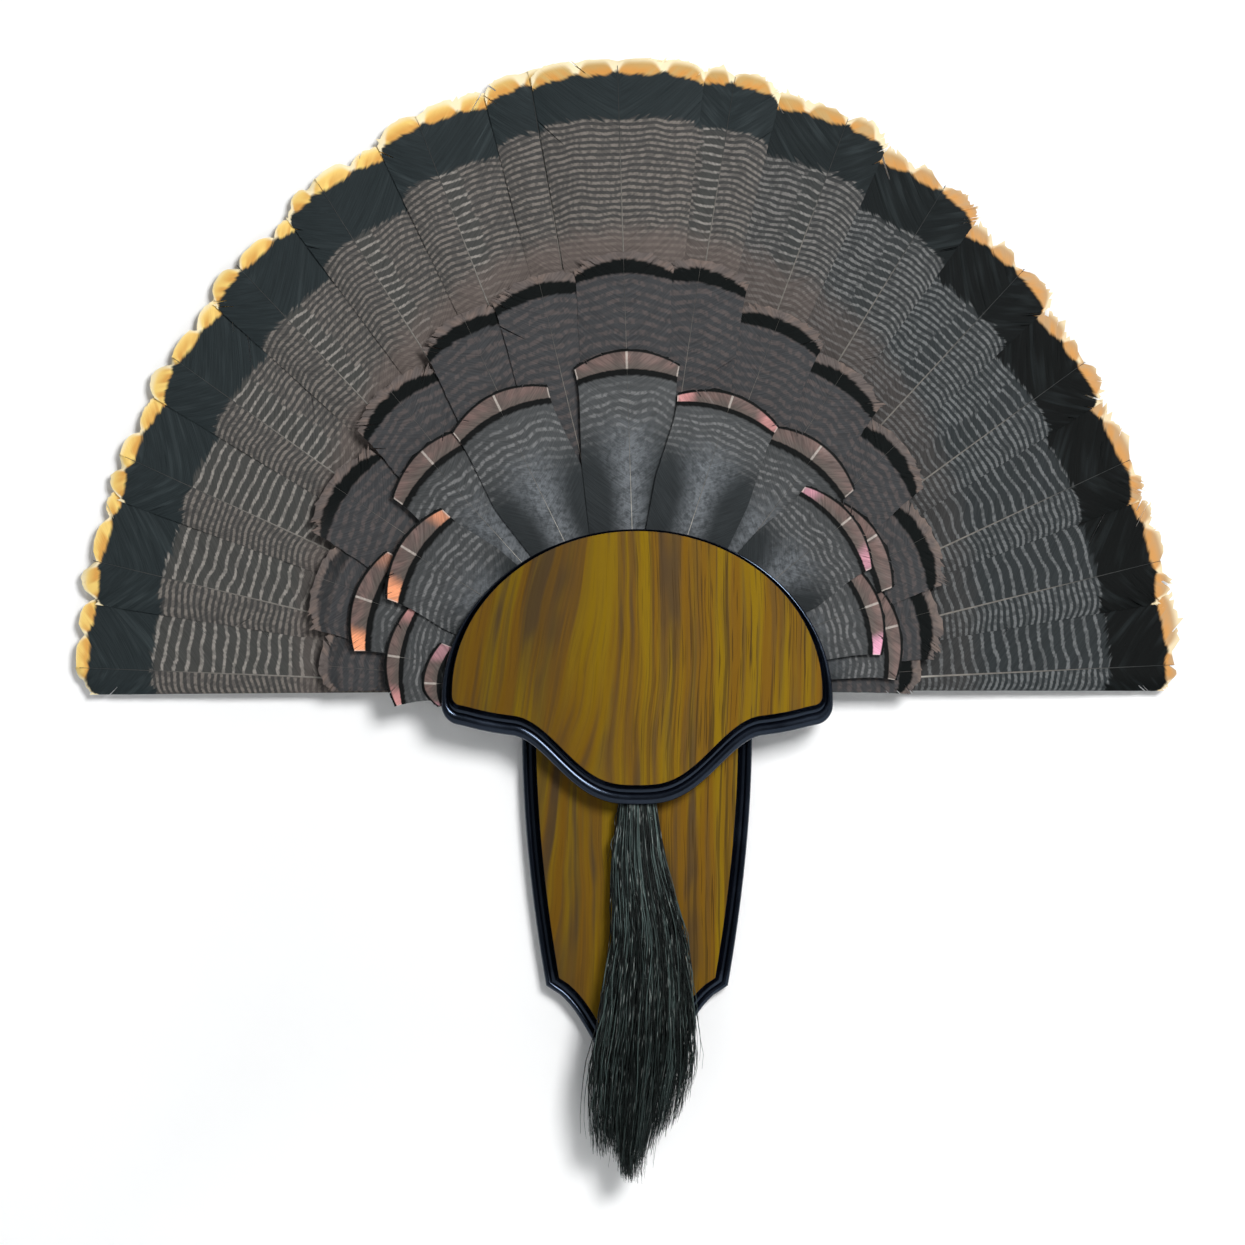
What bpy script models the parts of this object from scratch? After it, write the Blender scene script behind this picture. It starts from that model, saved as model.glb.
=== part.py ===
"""Wall plaque that shows a spread turkey tail fan above a hanging beard.

Metres, +Z up. The wall is the plane Y = 0 and the front faces -Y, so a height above the wall is a
distance along -Y. The origin is on the back of the board, where the lines of all the quills meet.
"""

import math
from typing import NamedTuple

import bmesh
import bpy
from mathutils import Matrix, Vector

# Fits
FIT = 0.0003
SCREW_FIT = 0.0004
LAYER_GAP = 0.0004

# Beard board
BOARD_THICKNESS = 0.016
BOARD_HALF_WIDTH = 0.074
BOARD_FOOT_HALF_WIDTH = 0.0585
BOARD_TOP_Z = 0.079
BOARD_ARCH_RISE = 0.045
BOARD_STRAIGHT_Z = -0.031
BOARD_FOOT_Z = -0.190
BOARD_TIP_Z = -0.258
BOARD_WAIST_POWER = 1.8
BOARD_FOOT_OGEE = 0.08
BOARD_RIM = 0.009
TONGUE_THICKNESS = 0.0065
ARCH_STEPS = 7
WAIST_STEPS = 6
FOOT_STEPS = 8

# Edge moulding of both boards
MOULDING_DEPTH = 0.0095
BEAD_RADIUS = 0.0035
BEAD_STEPS = 3
COVE_STEPS = 4

# Wood-grain sheets
VENEER = 0.0007
VENEER_TOP_Z = -0.0275

# Fan cap
CAP_HALF_WIDTH = 0.125
CAP_TOP_Z = 0.1032
CAP_SPRING_Z = -0.0065
CAP_CORNER = 0.013
CAP_SIDE_DROP = 0.0025
CAP_CHIN_Z = -0.073
CAP_CHIN_RISE = 0.042
CAP_CHIN_HALF_WIDTH = 0.080
CAP_CHIN_FULLNESS = 1.4
CAP_STEP_Z = -0.013
CAP_PLATE = 0.0098
CAP_RIM = 0.00685
CAP_LEAN = 0.00565
CAP_CHIN_POWER = 4
CAP_CORNER_DEG = 75.0
DOME_STEPS = 14
CORNER_STEPS = 5
CHIN_STEPS = 14

# Fan base
BASE_WALL = 0.002
BASE_DROP = 0.010
BASE_DROP_STEP = 0.0015
TAIL_TIER_RADIUS = 0.085
TIER_STEP = 0.007
TAIL_SOCKET = 0.030
COVERT_SOCKET = 0.020
TIER_ARC_STEPS = 24

# Tail feathers
TAIL_PER_SIDE = 8
TAIL_RIGHT_DEG = 2.7
TAIL_RIGHT_INNER_DEG = 80.9
TAIL_LEFT_DEG = 177.7
TAIL_LEFT_INNER_DEG = 100.0
TAIL_UNDER_DEG = 86.4
TAIL_CROWN_DEG = 91.8
TAIL_CROWN_REACH = 0.4075
TAIL_RIGHT_REACH = 0.352
TAIL_LEFT_REACH = 0.365
TAIL_REACH_POWER = 3
TAIL_QUILL = 0.0044
TAIL_INNER_SHARE = 0.75
TAIL_OUTER_SHARE = 0.40
TAIL_EDGE_SHARE = 0.25
TAIL_CROWN_SLOPE = 0.142
TAIL_HALF_WIDTH = 0.060
TAIL_DROOP = 0.004
TAIL_VANE_START = 0.010
TAIL_VANE_FULL = 0.022
TAIL_VANE_STEPS = 3
TAIL_TIP = 0.013
TAIL_TIP_ROUND = 0.75

# Vanes and shafts
VANE = 0.0004
VANE_START_SHARE = 0.3
VANE_LEAST = 1.4
TIP_BREAK = 0.7
SHAFT_TAPER = 0.75
QUILL_TAPER = 0.2
QUILL_SIDES = 10
SHINGLE_DEG = 2.5
SHAFT_RIDGE = 0.0003
TAIL_SHAFT_BACK = 0.0020
COVERT_SHAFT_BACK = 0.0005

# Coverts
COVERT_QUILL = 0.0024
COVERT_HALF_WIDTH = 0.031
COVERT_SHARE = 0.80
COVERT_SLOPE = 0.30
COVERT_EDGE_SLOPE = 0.19
MAJOR_EDGE_SLOPE = 0.08
COVERT_DROOP = 0.0005
COVERT_VANE_START = 0.006
COVERT_VANE_FULL = 0.016
COVERT_VANE_STEPS = 2
COVERT_TIP = 0.011
COVERT_TIP_ROUND = 0.80
COVERT_CROWN_LIFT = 0.0006
SHORT_COVERT_LIFT = 0.0020
SHORT_COVERT_SLOPE = 0.107
COVERT_CROWN_DEG = 91.8

# Beard root, hung on its screw
PIVOT_Z = -0.041
SWING_DEG = 8.0
SLOT_CLEARANCE = 0.001
ROOT_TOP_HALF_WIDTH = 0.0080
ROOT_HALF_WIDTH = 0.0115
ROOT_HALF_DEPTH = 0.0038
ROOT_RISE = 0.010
ROOT_DROP = 0.0182
ROOT_TOP_DEPTH_SHARE = 0.7
ROOT_EYE_WIDTH_SHARE = 0.92
OVAL_SIDES = 24

# Beard: half width, half depth and sideways sway of its sections, and the runs between them
STRANDS = 300
SLICE = 0.0035
SLICE_OVERHANG = 1.08
BEARD_TOP_HALF_WIDTH = 0.0115
BEARD_TOP_HALF_DEPTH = 0.0048
BEARD_MID_RUN = 0.105
BEARD_MID_HALF_WIDTH = 0.0255
BEARD_MID_HALF_DEPTH = 0.0095
BEARD_MID_SWAY = 0.007
BEARD_WIDE_RUN = 0.058
BEARD_WIDE_HALF_WIDTH = 0.0335
BEARD_WIDE_HALF_DEPTH = 0.0120
BEARD_WIDE_SWAY = 0.0045
BEARD_TIP_RUN = 0.093
BEARD_TIP_HALF_WIDTH = 0.0240
BEARD_TIP_HALF_DEPTH = 0.0080
BEARD_TIP_SWAY = -0.003
BEARD_LEFT_RUN = 0.067
BEARD_RIGHT_RUN = 0.020
BEARD_RAGGED = 0.012
GOLDEN = (math.sqrt(5) - 1) / 2

# Half thickness of a strand at each section, as a share of the section
STRAND_TOP_SHARE = 0.042
STRAND_MID_SHARE = 0.024
STRAND_WIDE_SHARE = 0.018

# Screws
SHANK_RADIUS = 0.0020
SCREW_HEAD_RADIUS = 0.0040
SCREW_HEAD_RIM = 0.0005
SCREW_HEAD_CONE = 0.0021
SCREW_POINT = 0.004
SCREW_RECESS = 0.0004
SCREW_SLOT = 0.0009
SCREW_SLOT_DEPTH = 0.0008
SCREW_SIDES = 12
SLOT_OVERRUN = 1.2
CENTRE_SCREW_Z = 0.016
SIDE_SCREW_INSET = 0.026
SIDE_SCREW_Z = -0.023
CENTRE_SCREW_BITE = 0.0065
SIDE_SCREW_BITE = 0.0125
BEARD_SCREW_HEAD = 0.0018
BEARD_SCREW_BITE = 0.012
PAN_SHARE = 0.95
PAN_TOP_SHARE = 0.6

# Wall hanger
HANGER_Z = 0.058
HANGER_LENGTH = 0.044
HANGER_HEIGHT = 0.009
HANGER_SHEET = 0.0008
HANGER_RAISE = 0.0010
HANGER_FOOT = 0.009
HANGER_RAMP = 0.003
HANGER_TEETH = 7
HANGER_TOOTH = 0.0022
HANGER_POCKET_MARGIN = 0.003
NAIL_SHANK = 0.0006
NAIL_HEAD_RADIUS = 0.0015
NAIL_HEAD = 0.0005
NAIL_BITE = 0.0026
NAIL_SIDES = 8

SMOOTH_ANGLE = math.radians(35)
FAR = 0.5

# Angle in degrees and reach in metres of each covert, from the lower left round to the lower right
MAJOR_COVERTS = (
    (175.5, 0.205),
    (160.5, 0.219),
    (146.0, 0.239),
    (129.5, 0.253),
    (115.0, 0.267),
    (103.5, 0.274),
    (COVERT_CROWN_DEG, 0.282),
    (81.5, 0.279),
    (69.0, 0.261),
    (57.0, 0.248),
    (43.5, 0.233),
    (28.0, 0.215),
    (15.0, 0.200),
    (4.0, 0.183),
)
MIDDLE_COVERTS = (
    (161.5, 0.192),
    (132.0, 0.208),
    (116.0, 0.212),
    (COVERT_CROWN_DEG, 0.219),
    (53.0, 0.198),
    (33.0, 0.185),
    (14.0, 0.174),
)
LESSER_COVERTS = (
    (172.0, 0.163),
    (148.5, 0.179),
    (72.0, 0.200),
    (39.0, 0.178),
    (20.0, 0.166),
)
SHORT_COVERT = (178.0, 0.138)

# Heights above the wall and places that follow from the sizes
SHINGLE = math.tan(math.radians(SHINGLE_DEG))
BASE_BACK = TONGUE_THICKNESS + FIT
TAIL_LEVEL = BASE_BACK + BASE_WALL + FIT + TAIL_QUILL / 2
UNDER_LIFT = VANE + SHAFT_RIDGE + LAYER_GAP
CROWN_LIFT = UNDER_LIFT + VANE + TAIL_SHAFT_BACK + LAYER_GAP
TAIL_FRONT = TAIL_LEVEL + CROWN_LIFT + VANE / 2 + SHAFT_RIDGE
MAJOR_LEVEL = TAIL_FRONT + LAYER_GAP + COVERT_DROOP + COVERT_HALF_WIDTH * SHINGLE + VANE / 2
COVERT_PITCH = 2 * COVERT_HALF_WIDTH * SHINGLE + COVERT_CROWN_LIFT + VANE + LAYER_GAP
MIDDLE_LEVEL = MAJOR_LEVEL + COVERT_PITCH
LESSER_LEVEL = MIDDLE_LEVEL + COVERT_PITCH
CAP_BACK = LESSER_LEVEL + SHORT_COVERT_LIFT + VANE / 2 + SHAFT_RIDGE + LAYER_GAP
CAP_FACE = CAP_BACK + CAP_PLATE
VENEER_FRONT = BOARD_THICKNESS + FIT + VENEER
SKIRT_BACK = VENEER_FRONT + FIT
HANGER_POCKET_DEPTH = HANGER_SHEET + HANGER_RAISE + 2 * FIT
SIDE_SCREW_X = BOARD_HALF_WIDTH - SIDE_SCREW_INSET

# The beard's back stays just off the veneer all the way down
BEARD_BACK = VENEER_FRONT + 2 * FIT
ROOT_LEVEL = BEARD_BACK + BEARD_TOP_HALF_DEPTH * SLICE_OVERHANG
SLICE_TOP = ROOT_DROP + FIT
STRAND_TOP = SLICE_TOP + SLICE
BEARD_SCREW_SEAT = ROOT_LEVEL + ROOT_HALF_DEPTH + FIT
BEARD_SCREW_FRONT = BEARD_SCREW_SEAT + BEARD_SCREW_HEAD


class Feather(NamedTuple):
    """One feather: its line, its reach from the fan's centre and the slopes of its two vanes."""

    name: str
    angle: float
    reach: float
    side: int
    outer_slope: float
    inner_slope: float
    lift: float
    shingle: float


class Row(NamedTuple):
    """What the feathers of a row share: height, socket, quill and the limits of their vanes."""

    level: float
    mouth: float
    socket: float
    quill: float
    half_width: float
    shaft_back: float
    droop: float
    vane_start: float
    vane_full: float
    vane_steps: int
    tip: float
    tip_round: float
    material: str


class Plane(NamedTuple):
    """An oval section of the beard at a drop below its pivot, and the size of a strand there."""

    drop: float
    sway: float
    half_width: float
    half_depth: float
    strand_share: float


def srgb(red, green, blue):
    """A material colour from the 8-bit values that a screen shows."""
    levels = [value / 255 for value in (red, green, blue)]
    return [v / 12.92 if v <= 0.04045 else ((v + 0.055) / 1.055) ** 2.4 for v in levels] + [1.0]


def make_material(name, colour, roughness, metallic=0.0):
    material = bpy.data.materials.new(name)
    material.use_nodes = True
    shader = material.node_tree.nodes["Principled BSDF"]
    shader.inputs["Base Color"].default_value = srgb(*colour)
    shader.inputs["Roughness"].default_value = roughness
    shader.inputs["Metallic"].default_value = metallic
    return material


def add_empty(name, location):
    empty = bpy.data.objects.new(name, None)
    empty.location = location
    bpy.context.collection.objects.link(empty)
    return empty


def add_piece(name, mesh, material=None, parent=None):
    """An object from a finished bmesh, smooth where its faces meet at a low angle."""
    bmesh.ops.recalc_face_normals(mesh, faces=mesh.faces)
    data = bpy.data.meshes.new(name)
    mesh.to_mesh(data)
    mesh.free()
    data.shade_smooth()
    data.set_sharp_from_angle(angle=SMOOTH_ANGLE)
    if material:
        data.materials.append(material)
    piece = bpy.data.objects.new(name, data)
    bpy.context.collection.objects.link(piece)
    piece.parent = parent
    return piece


def add_cutter(name, mesh, parent=None):
    cutter = add_piece(name, mesh, parent=parent)
    cutter.hide_render = True
    cutter.display_type = "WIRE"
    return cutter


def cut(piece, cutter):
    modifier = piece.modifiers.new("cut_" + cutter.name, "BOOLEAN")
    modifier.operation = "DIFFERENCE"
    modifier.object = cutter


def skin(mesh, rings):
    """Adds a closed skin through rings of points to a bmesh. A ring of one point is a tip."""
    loops = [[mesh.verts.new(point) for point in ring] for ring in rings]
    for lower, upper in zip(loops, loops[1:]):
        for index, corner in enumerate(lower):
            after = (index + 1) % len(lower)
            if len(upper) == 1:
                mesh.faces.new((corner, lower[after], upper[0]))
            else:
                mesh.faces.new((corner, lower[after], upper[after], upper[index]))
    for end in (loops[0], loops[-1]):
        if len(end) > 1:
            mesh.faces.new(end)


def loft(rings):
    mesh = bmesh.new()
    skin(mesh, rings)
    return mesh


def box(low, high):
    """A box between two (x, height, z) corners, where height is above the wall."""
    size = [b - a for a, b in zip(low, high)]
    middle = [(a + b) / 2 for a, b in zip(low, high)]
    place = Matrix.Translation((middle[0], -middle[1], middle[2]))
    mesh = bmesh.new()
    bmesh.ops.create_cube(mesh, size=1, matrix=place @ Matrix.Diagonal((*size, 1)))
    return mesh


def turned(profile, sides):
    """A round shape about the Y axis from (radius, height) steps."""
    rings = []
    for radius, height in profile:
        if radius == 0:
            rings.append([(0, -height, 0)])
            continue
        turns = [2 * math.pi * (step + 0.5) / sides for step in range(sides)]
        rings.append([(radius * math.cos(a), -height, radius * math.sin(a)) for a in turns])
    return loft(rings)


def mirrored(right):
    """A closed outline from its right half, which runs down from the top centre to the foot."""
    return right + [(-x, z) for x, z in reversed(right[1:-1])]


def shares(steps, first=1):
    return [step / steps for step in range(first, steps + 1)]


def board_outline():
    """Arched top behind the cap, straight sides that draw in below, and an ogee foot."""
    arch_z = BOARD_TOP_Z - BOARD_ARCH_RISE
    right = []
    for share in shares(ARCH_STEPS, first=0):
        turn = math.pi / 2 * share
        right.append((BOARD_HALF_WIDTH * math.sin(turn), arch_z + BOARD_ARCH_RISE * math.cos(turn)))
    right.append((BOARD_HALF_WIDTH, BOARD_STRAIGHT_Z))
    for share in shares(WAIST_STEPS):
        draw = (BOARD_HALF_WIDTH - BOARD_FOOT_HALF_WIDTH) * share**BOARD_WAIST_POWER
        fall = (BOARD_FOOT_Z - BOARD_STRAIGHT_Z) * share
        right.append((BOARD_HALF_WIDTH - draw, BOARD_STRAIGHT_Z + fall))
    for share in shares(FOOT_STEPS):
        fall = share - BOARD_FOOT_OGEE * math.sin(2 * math.pi * share)
        z = BOARD_FOOT_Z + (BOARD_TIP_Z - BOARD_FOOT_Z) * fall
        right.append((BOARD_FOOT_HALF_WIDTH * (1 - share), z))
    return mirrored(right)


def chin_z(x):
    """The cap's lower edge: a full round chin over the beard, then a slow rise to the corner."""
    share = min(x / CAP_CHIN_HALF_WIDTH, 1) ** CAP_CHIN_FULLNESS
    corner_x = CAP_HALF_WIDTH - CAP_CORNER
    flat_z = CAP_CHIN_Z + CAP_CHIN_RISE
    corner_z = CAP_SPRING_Z - CAP_SIDE_DROP - CAP_CORNER
    dip = CAP_CHIN_RISE * (1 - math.cos(math.pi * share)) / 2
    return CAP_CHIN_Z + dip + (corner_z - flat_z) * (x / corner_x) ** CAP_CHIN_POWER


def cap_outline():
    """Half-oval dome, round corners and a chin in the middle of the lower edge."""
    right = []
    for share in shares(DOME_STEPS, first=0):
        turn = math.pi / 2 * share
        rise = (CAP_TOP_Z - CAP_SPRING_Z) * math.cos(turn)
        right.append((CAP_HALF_WIDTH * math.sin(turn), CAP_SPRING_Z + rise))
    corner_x = CAP_HALF_WIDTH - CAP_CORNER
    corner_z = CAP_SPRING_Z - CAP_SIDE_DROP
    for share in shares(CORNER_STEPS, first=0):
        turn = math.radians(CAP_CORNER_DEG) * share
        right.append((corner_x + CAP_CORNER * math.cos(turn), corner_z - CAP_CORNER * math.sin(turn)))
    for share in shares(CHIN_STEPS):
        x = corner_x * (1 - share)
        right.append((x, chin_z(x)))
    return mirrored(right)


def inset_directions(outline):
    """How far each corner of a clockwise outline moves for an inset of one."""
    directions = []
    for index, (x, z) in enumerate(outline):
        before = outline[index - 1]
        after = outline[(index + 1) % len(outline)]
        first = math.atan2(z - before[1], x - before[0]) - math.pi / 2
        second = math.atan2(after[1] - z, after[0] - x) - math.pi / 2
        spread = 1 + math.cos(first - second)
        directions.append(
            ((math.cos(first) + math.cos(second)) / spread, (math.sin(first) + math.sin(second)) / spread)
        )
    return directions


def inset_ring(outline, inset, lean, height):
    """The outline drawn in by an inset and moved up by a lean, at a height above the wall."""
    moves = inset_directions(outline)
    return [
        (x + move[0] * inset, -height, z + move[1] * inset + lean)
        for (x, z), move in zip(outline, moves)
    ]


def moulding(rim):
    """Steps of a moulded edge from its outer wall to the face, as (inset, height)."""
    steps = []
    for share in shares(BEAD_STEPS, first=0):
        turn = math.pi / 2 * share
        steps.append((BEAD_RADIUS * (1 - math.cos(turn)), BEAD_RADIUS * math.sin(turn)))
    for share in shares(COVE_STEPS):
        turn = math.pi / 2 * share
        rise = (MOULDING_DEPTH - BEAD_RADIUS) * (1 - math.cos(turn))
        steps.append((BEAD_RADIUS + (rim - BEAD_RADIUS) * math.sin(turn), BEAD_RADIUS + rise))
    return steps


def moulded_board(outline, back, face, rim, lean=0.0):
    """A board with a bead and a cove round its front edge. A lean moves the face up over the back."""
    rings = [inset_ring(outline, 0, 0, back)]
    for inset, height in moulding(rim):
        rings.append(inset_ring(outline, inset, lean * inset / rim, face - MOULDING_DEPTH + height))
    return loft(rings)


def veneer_sheet(outline, face, rim, lean=0.0):
    """The sheet that covers a moulded board's face."""
    inset = rim + FIT
    return loft([inset_ring(outline, inset, lean, face + lift) for lift in (FIT, FIT + VENEER)])


def make_board(materials):
    """The beard board, thinned above its shoulder to a tongue for the fan, and its veneer."""
    outline = board_outline()
    block = moulded_board(outline, 0, BOARD_THICKNESS, BOARD_RIM)
    board = add_piece("beard_board", block, materials["lacquer"])
    shoulder = -(BASE_DROP + FIT)
    rebate = box((-FAR, TONGUE_THICKNESS, shoulder), (FAR, BOARD_THICKNESS + FAR, FAR))
    cut(board, add_cutter("tongue_rebate", rebate))
    half = HANGER_LENGTH / 2 + HANGER_POCKET_MARGIN
    reach = HANGER_HEIGHT / 2 + HANGER_POCKET_MARGIN
    pocket = box((-half, -FAR, HANGER_Z - reach), (half, HANGER_POCKET_DEPTH, HANGER_Z + reach))
    cut(board, add_cutter("hanger_pocket", pocket))
    sheet = veneer_sheet(outline, BOARD_THICKNESS, BOARD_RIM)
    veneer = add_piece("beard_board_veneer", sheet, materials["board_grain"])
    hidden = box((-FAR, 0, VENEER_TOP_Z), (FAR, FAR, FAR))
    cut(veneer, add_cutter("veneer_top", hidden))
    return board, veneer


def make_cap(materials):
    """The fan cap: a plate over the quills with a skirt down to the board, slotted for the beard."""
    outline = cap_outline()
    block = moulded_board(outline, SKIRT_BACK, CAP_FACE, CAP_RIM, CAP_LEAN)
    cap = add_piece("fan_cap", block, materials["lacquer"])
    over_fan = box((-FAR, 0, CAP_STEP_Z), (FAR, CAP_BACK, FAR))
    cut(cap, add_cutter("fan_clearance", over_fan))
    cut(cap, add_cutter("beard_slot", beard_slot()))
    sheet = veneer_sheet(outline, CAP_FACE, CAP_RIM, CAP_LEAN)
    add_piece("fan_cap_veneer", sheet, materials["cap_grain"])
    return cap


def beard_slot():
    """The slot in the cap's chin, wide enough for the beard at both ends of its swing."""
    swing = math.radians(SWING_DEG)
    exit_drop = PIVOT_Z - CAP_CHIN_Z
    share = (exit_drop - STRAND_TOP) / BEARD_MID_RUN
    exit_width = BEARD_TOP_HALF_WIDTH + (BEARD_MID_HALF_WIDTH - BEARD_TOP_HALF_WIDTH) * share
    exit_depth = BEARD_TOP_HALF_DEPTH + (BEARD_MID_HALF_DEPTH - BEARD_TOP_HALF_DEPTH) * share
    half = (exit_width + BEARD_MID_SWAY * share) * SLICE_OVERHANG + exit_drop * math.sin(swing)
    half += SLOT_CLEARANCE
    beard_front = BEARD_BACK + 2 * exit_depth * SLICE_OVERHANG
    front = max(BEARD_SCREW_FRONT, beard_front) + SLOT_CLEARANCE
    top = PIVOT_Z + math.hypot(ROOT_RISE, ROOT_TOP_HALF_WIDTH) + SLOT_CLEARANCE
    return box((-half, 0, CAP_CHIN_Z - FAR), (half, front, top))


def tier_outline(radius, drop):
    """A round top closed by a straight lower edge, from one end of the arc to the other."""
    dip = math.asin(drop / radius)
    turns = [-dip + (math.pi + 2 * dip) * share for share in shares(TIER_ARC_STEPS, first=0)]
    return [(radius * math.cos(turn), radius * math.sin(turn)) for turn in turns]


def make_fan_base(materials):
    """The cured tail root: four tiers, each with the sockets of one row of quills."""
    tops = (
        (TAIL_LEVEL + TAIL_QUILL / 2 + MAJOR_LEVEL - COVERT_QUILL / 2) / 2,
        (MAJOR_LEVEL + MIDDLE_LEVEL) / 2,
        (MIDDLE_LEVEL + LESSER_LEVEL) / 2,
        CAP_BACK - FIT,
    )
    rings = []
    back = BASE_BACK
    for tier, top in enumerate(tops):
        radius = TAIL_TIER_RADIUS - tier * TIER_STEP
        outline = tier_outline(radius, BASE_DROP - tier * BASE_DROP_STEP)
        rings += [[(x, -height, z) for x, z in outline] for height in (back, top)]
        back = top
    return add_piece("fan_base", loft(rings), materials["hide"])


def tail_reach(angle):
    """The fan is longest at its crown and shorter on the right than on the left."""
    side_reach = TAIL_RIGHT_REACH if angle < TAIL_CROWN_DEG else TAIL_LEFT_REACH
    rise = math.sin(math.radians(angle)) ** TAIL_REACH_POWER
    return side_reach + (TAIL_CROWN_REACH - side_reach) * rise


def tail_side(first, last, next_in, side):
    """The feathers of one side, from the outermost in. Each lies under its inner neighbour."""
    angles = [first + (last - first) * step / (TAIL_PER_SIDE - 1) for step in range(TAIL_PER_SIDE)]
    pitch = math.radians(abs(last - first)) / (TAIL_PER_SIDE - 1)
    feathers = []
    for place, (angle, inner) in enumerate(zip(angles, angles[1:] + [next_in])):
        feathers.append(
            Feather(
                name="",
                angle=angle,
                reach=tail_reach(angle),
                side=side,
                outer_slope=pitch * (TAIL_OUTER_SHARE if place else TAIL_EDGE_SHARE),
                inner_slope=math.radians(abs(inner - angle)) * TAIL_INNER_SHARE,
                lift=0.0,
                shingle=SHINGLE,
            )
        )
    return feathers


def tail_feathers():
    """All tail feathers from the lower left round to the lower right."""
    left = tail_side(TAIL_LEFT_DEG, TAIL_LEFT_INNER_DEG, TAIL_CROWN_DEG, -1)
    right = tail_side(TAIL_RIGHT_DEG, TAIL_RIGHT_INNER_DEG, TAIL_UNDER_DEG, 1)
    crown = Feather(
        "", TAIL_CROWN_DEG, TAIL_CROWN_REACH, 1, TAIL_CROWN_SLOPE, TAIL_CROWN_SLOPE, CROWN_LIFT, 0.0
    )
    under_slopes = [
        math.radians(abs(TAIL_UNDER_DEG - other)) * TAIL_INNER_SHARE
        for other in (TAIL_RIGHT_INNER_DEG, TAIL_CROWN_DEG)
    ]
    under = Feather(
        "", TAIL_UNDER_DEG, tail_reach(TAIL_UNDER_DEG), 1, *under_slopes, UNDER_LIFT, 0.0
    )
    ordered = left + [crown, under] + right[::-1]
    return [f._replace(name=f"tail_feather_{place:02d}") for place, f in enumerate(ordered, 1)]


def covert_feathers(name, plan, edge_slope):
    """A row of coverts. Each lies under its neighbour towards the crown."""
    feathers = []
    for place, (angle, reach) in enumerate(plan):
        crown = angle == COVERT_CROWN_DEG
        side = 1 if angle < COVERT_CROWN_DEG else -1
        slopes = []
        for other in (place + side, place - side):
            if 0 <= other < len(plan):
                spacing = math.radians(abs(plan[other][0] - angle))
                slopes.append(min(spacing * COVERT_SHARE, COVERT_SLOPE))
            else:
                slopes.append(edge_slope)
        lift = COVERT_CROWN_LIFT if crown else 0.0
        shingle = 0.0 if crown else SHINGLE
        feathers.append(Feather(f"{name}_{place + 1:02d}", angle, reach, side, *slopes, lift, shingle))
    return feathers


def feather_stations(feather, row):
    """Distances from the fan's centre at which the vane is drawn, with the share of its full width."""
    full = row.mouth + row.vane_full
    shoulder = feather.reach - row.tip
    stations = [(row.mouth + row.vane_start, VANE_START_SHARE)]
    for share in shares(row.vane_steps, first=0):
        stations.append((full + (shoulder - full) * share, 1.0))
    for share in (TIP_BREAK, 1.0):
        stations.append((shoulder + row.tip * share, math.sqrt(1 - (share * row.tip_round) ** 2)))
    return stations


def quill_ring(row, radius, extra=0.0):
    """A section of the quill, with as many corners as a section of the vane."""
    half = row.quill / 2 + extra
    turns = [-2 * math.pi * (corner + 0.5) / QUILL_SIDES for corner in range(QUILL_SIDES)]
    return [(half * math.cos(a), -(row.level + half * math.sin(a)), radius) for a in turns]


def vane_ring(feather, row, radius, width_share):
    """A section through the vane and its shaft, in the same order as the quill's corners."""
    along = (radius - row.mouth) / (feather.reach - row.mouth)
    shaft = row.quill / 2 * (1 - SHAFT_TAPER * along)
    outer, inner = (
        max(min(slope * radius, row.half_width) * width_share, shaft * VANE_LEAST)
        for slope in (feather.outer_slope, feather.inner_slope)
    )
    right, left = (outer, inner) if feather.side > 0 else (inner, outer)
    middle = row.level + feather.lift - row.droop * along**2
    lean = feather.shingle * feather.side
    back = row.shaft_back * (1 - SHAFT_TAPER * along)
    ridge = SHAFT_RIDGE * (1 - SHAFT_TAPER * along)
    corners = [(x, -VANE / 2) for x in (right, shaft)]
    corners += [(0, -VANE / 2 - back)]
    corners += [(x, -VANE / 2) for x in (-shaft, -left)]
    corners += [(x, VANE / 2) for x in (-left, -shaft)]
    corners += [(0, VANE / 2 + ridge)]
    corners += [(x, VANE / 2) for x in (shaft, right)]
    return [(x, -(middle + lean * x + rise), radius) for x, rise in corners]


def feather_mesh(feather, row):
    """A quill that widens into a vane with a rounded tip, along +Z."""
    rings = [
        quill_ring(row, row.mouth - row.socket, -row.quill * QUILL_TAPER),
        quill_ring(row, row.mouth + FIT),
    ]
    rings += [vane_ring(feather, row, *station) for station in feather_stations(feather, row)]
    return loft(rings)


def make_feathers(rows, base, materials, fan):
    """Every feather of the fan and the socket of each quill in the base."""
    sockets = bmesh.new()
    for row, feathers in rows:
        for feather in feathers:
            piece = add_piece(feather.name, feather_mesh(feather, row), materials[row.material], fan)
            line = math.radians(90 - feather.angle)
            piece.rotation_euler = (0, line, 0)
            inner = quill_ring(row, row.mouth - row.socket - FIT, FIT - row.quill * QUILL_TAPER)
            outer = quill_ring(row, row.mouth + TIER_STEP / 2, FIT)
            turn = Matrix.Rotation(line, 4, "Y")
            skin(sockets, [[turn @ Vector(point) for point in ring] for ring in (inner, outer)])
    cut(base, add_cutter("quill_sockets", sockets, fan))


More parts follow.
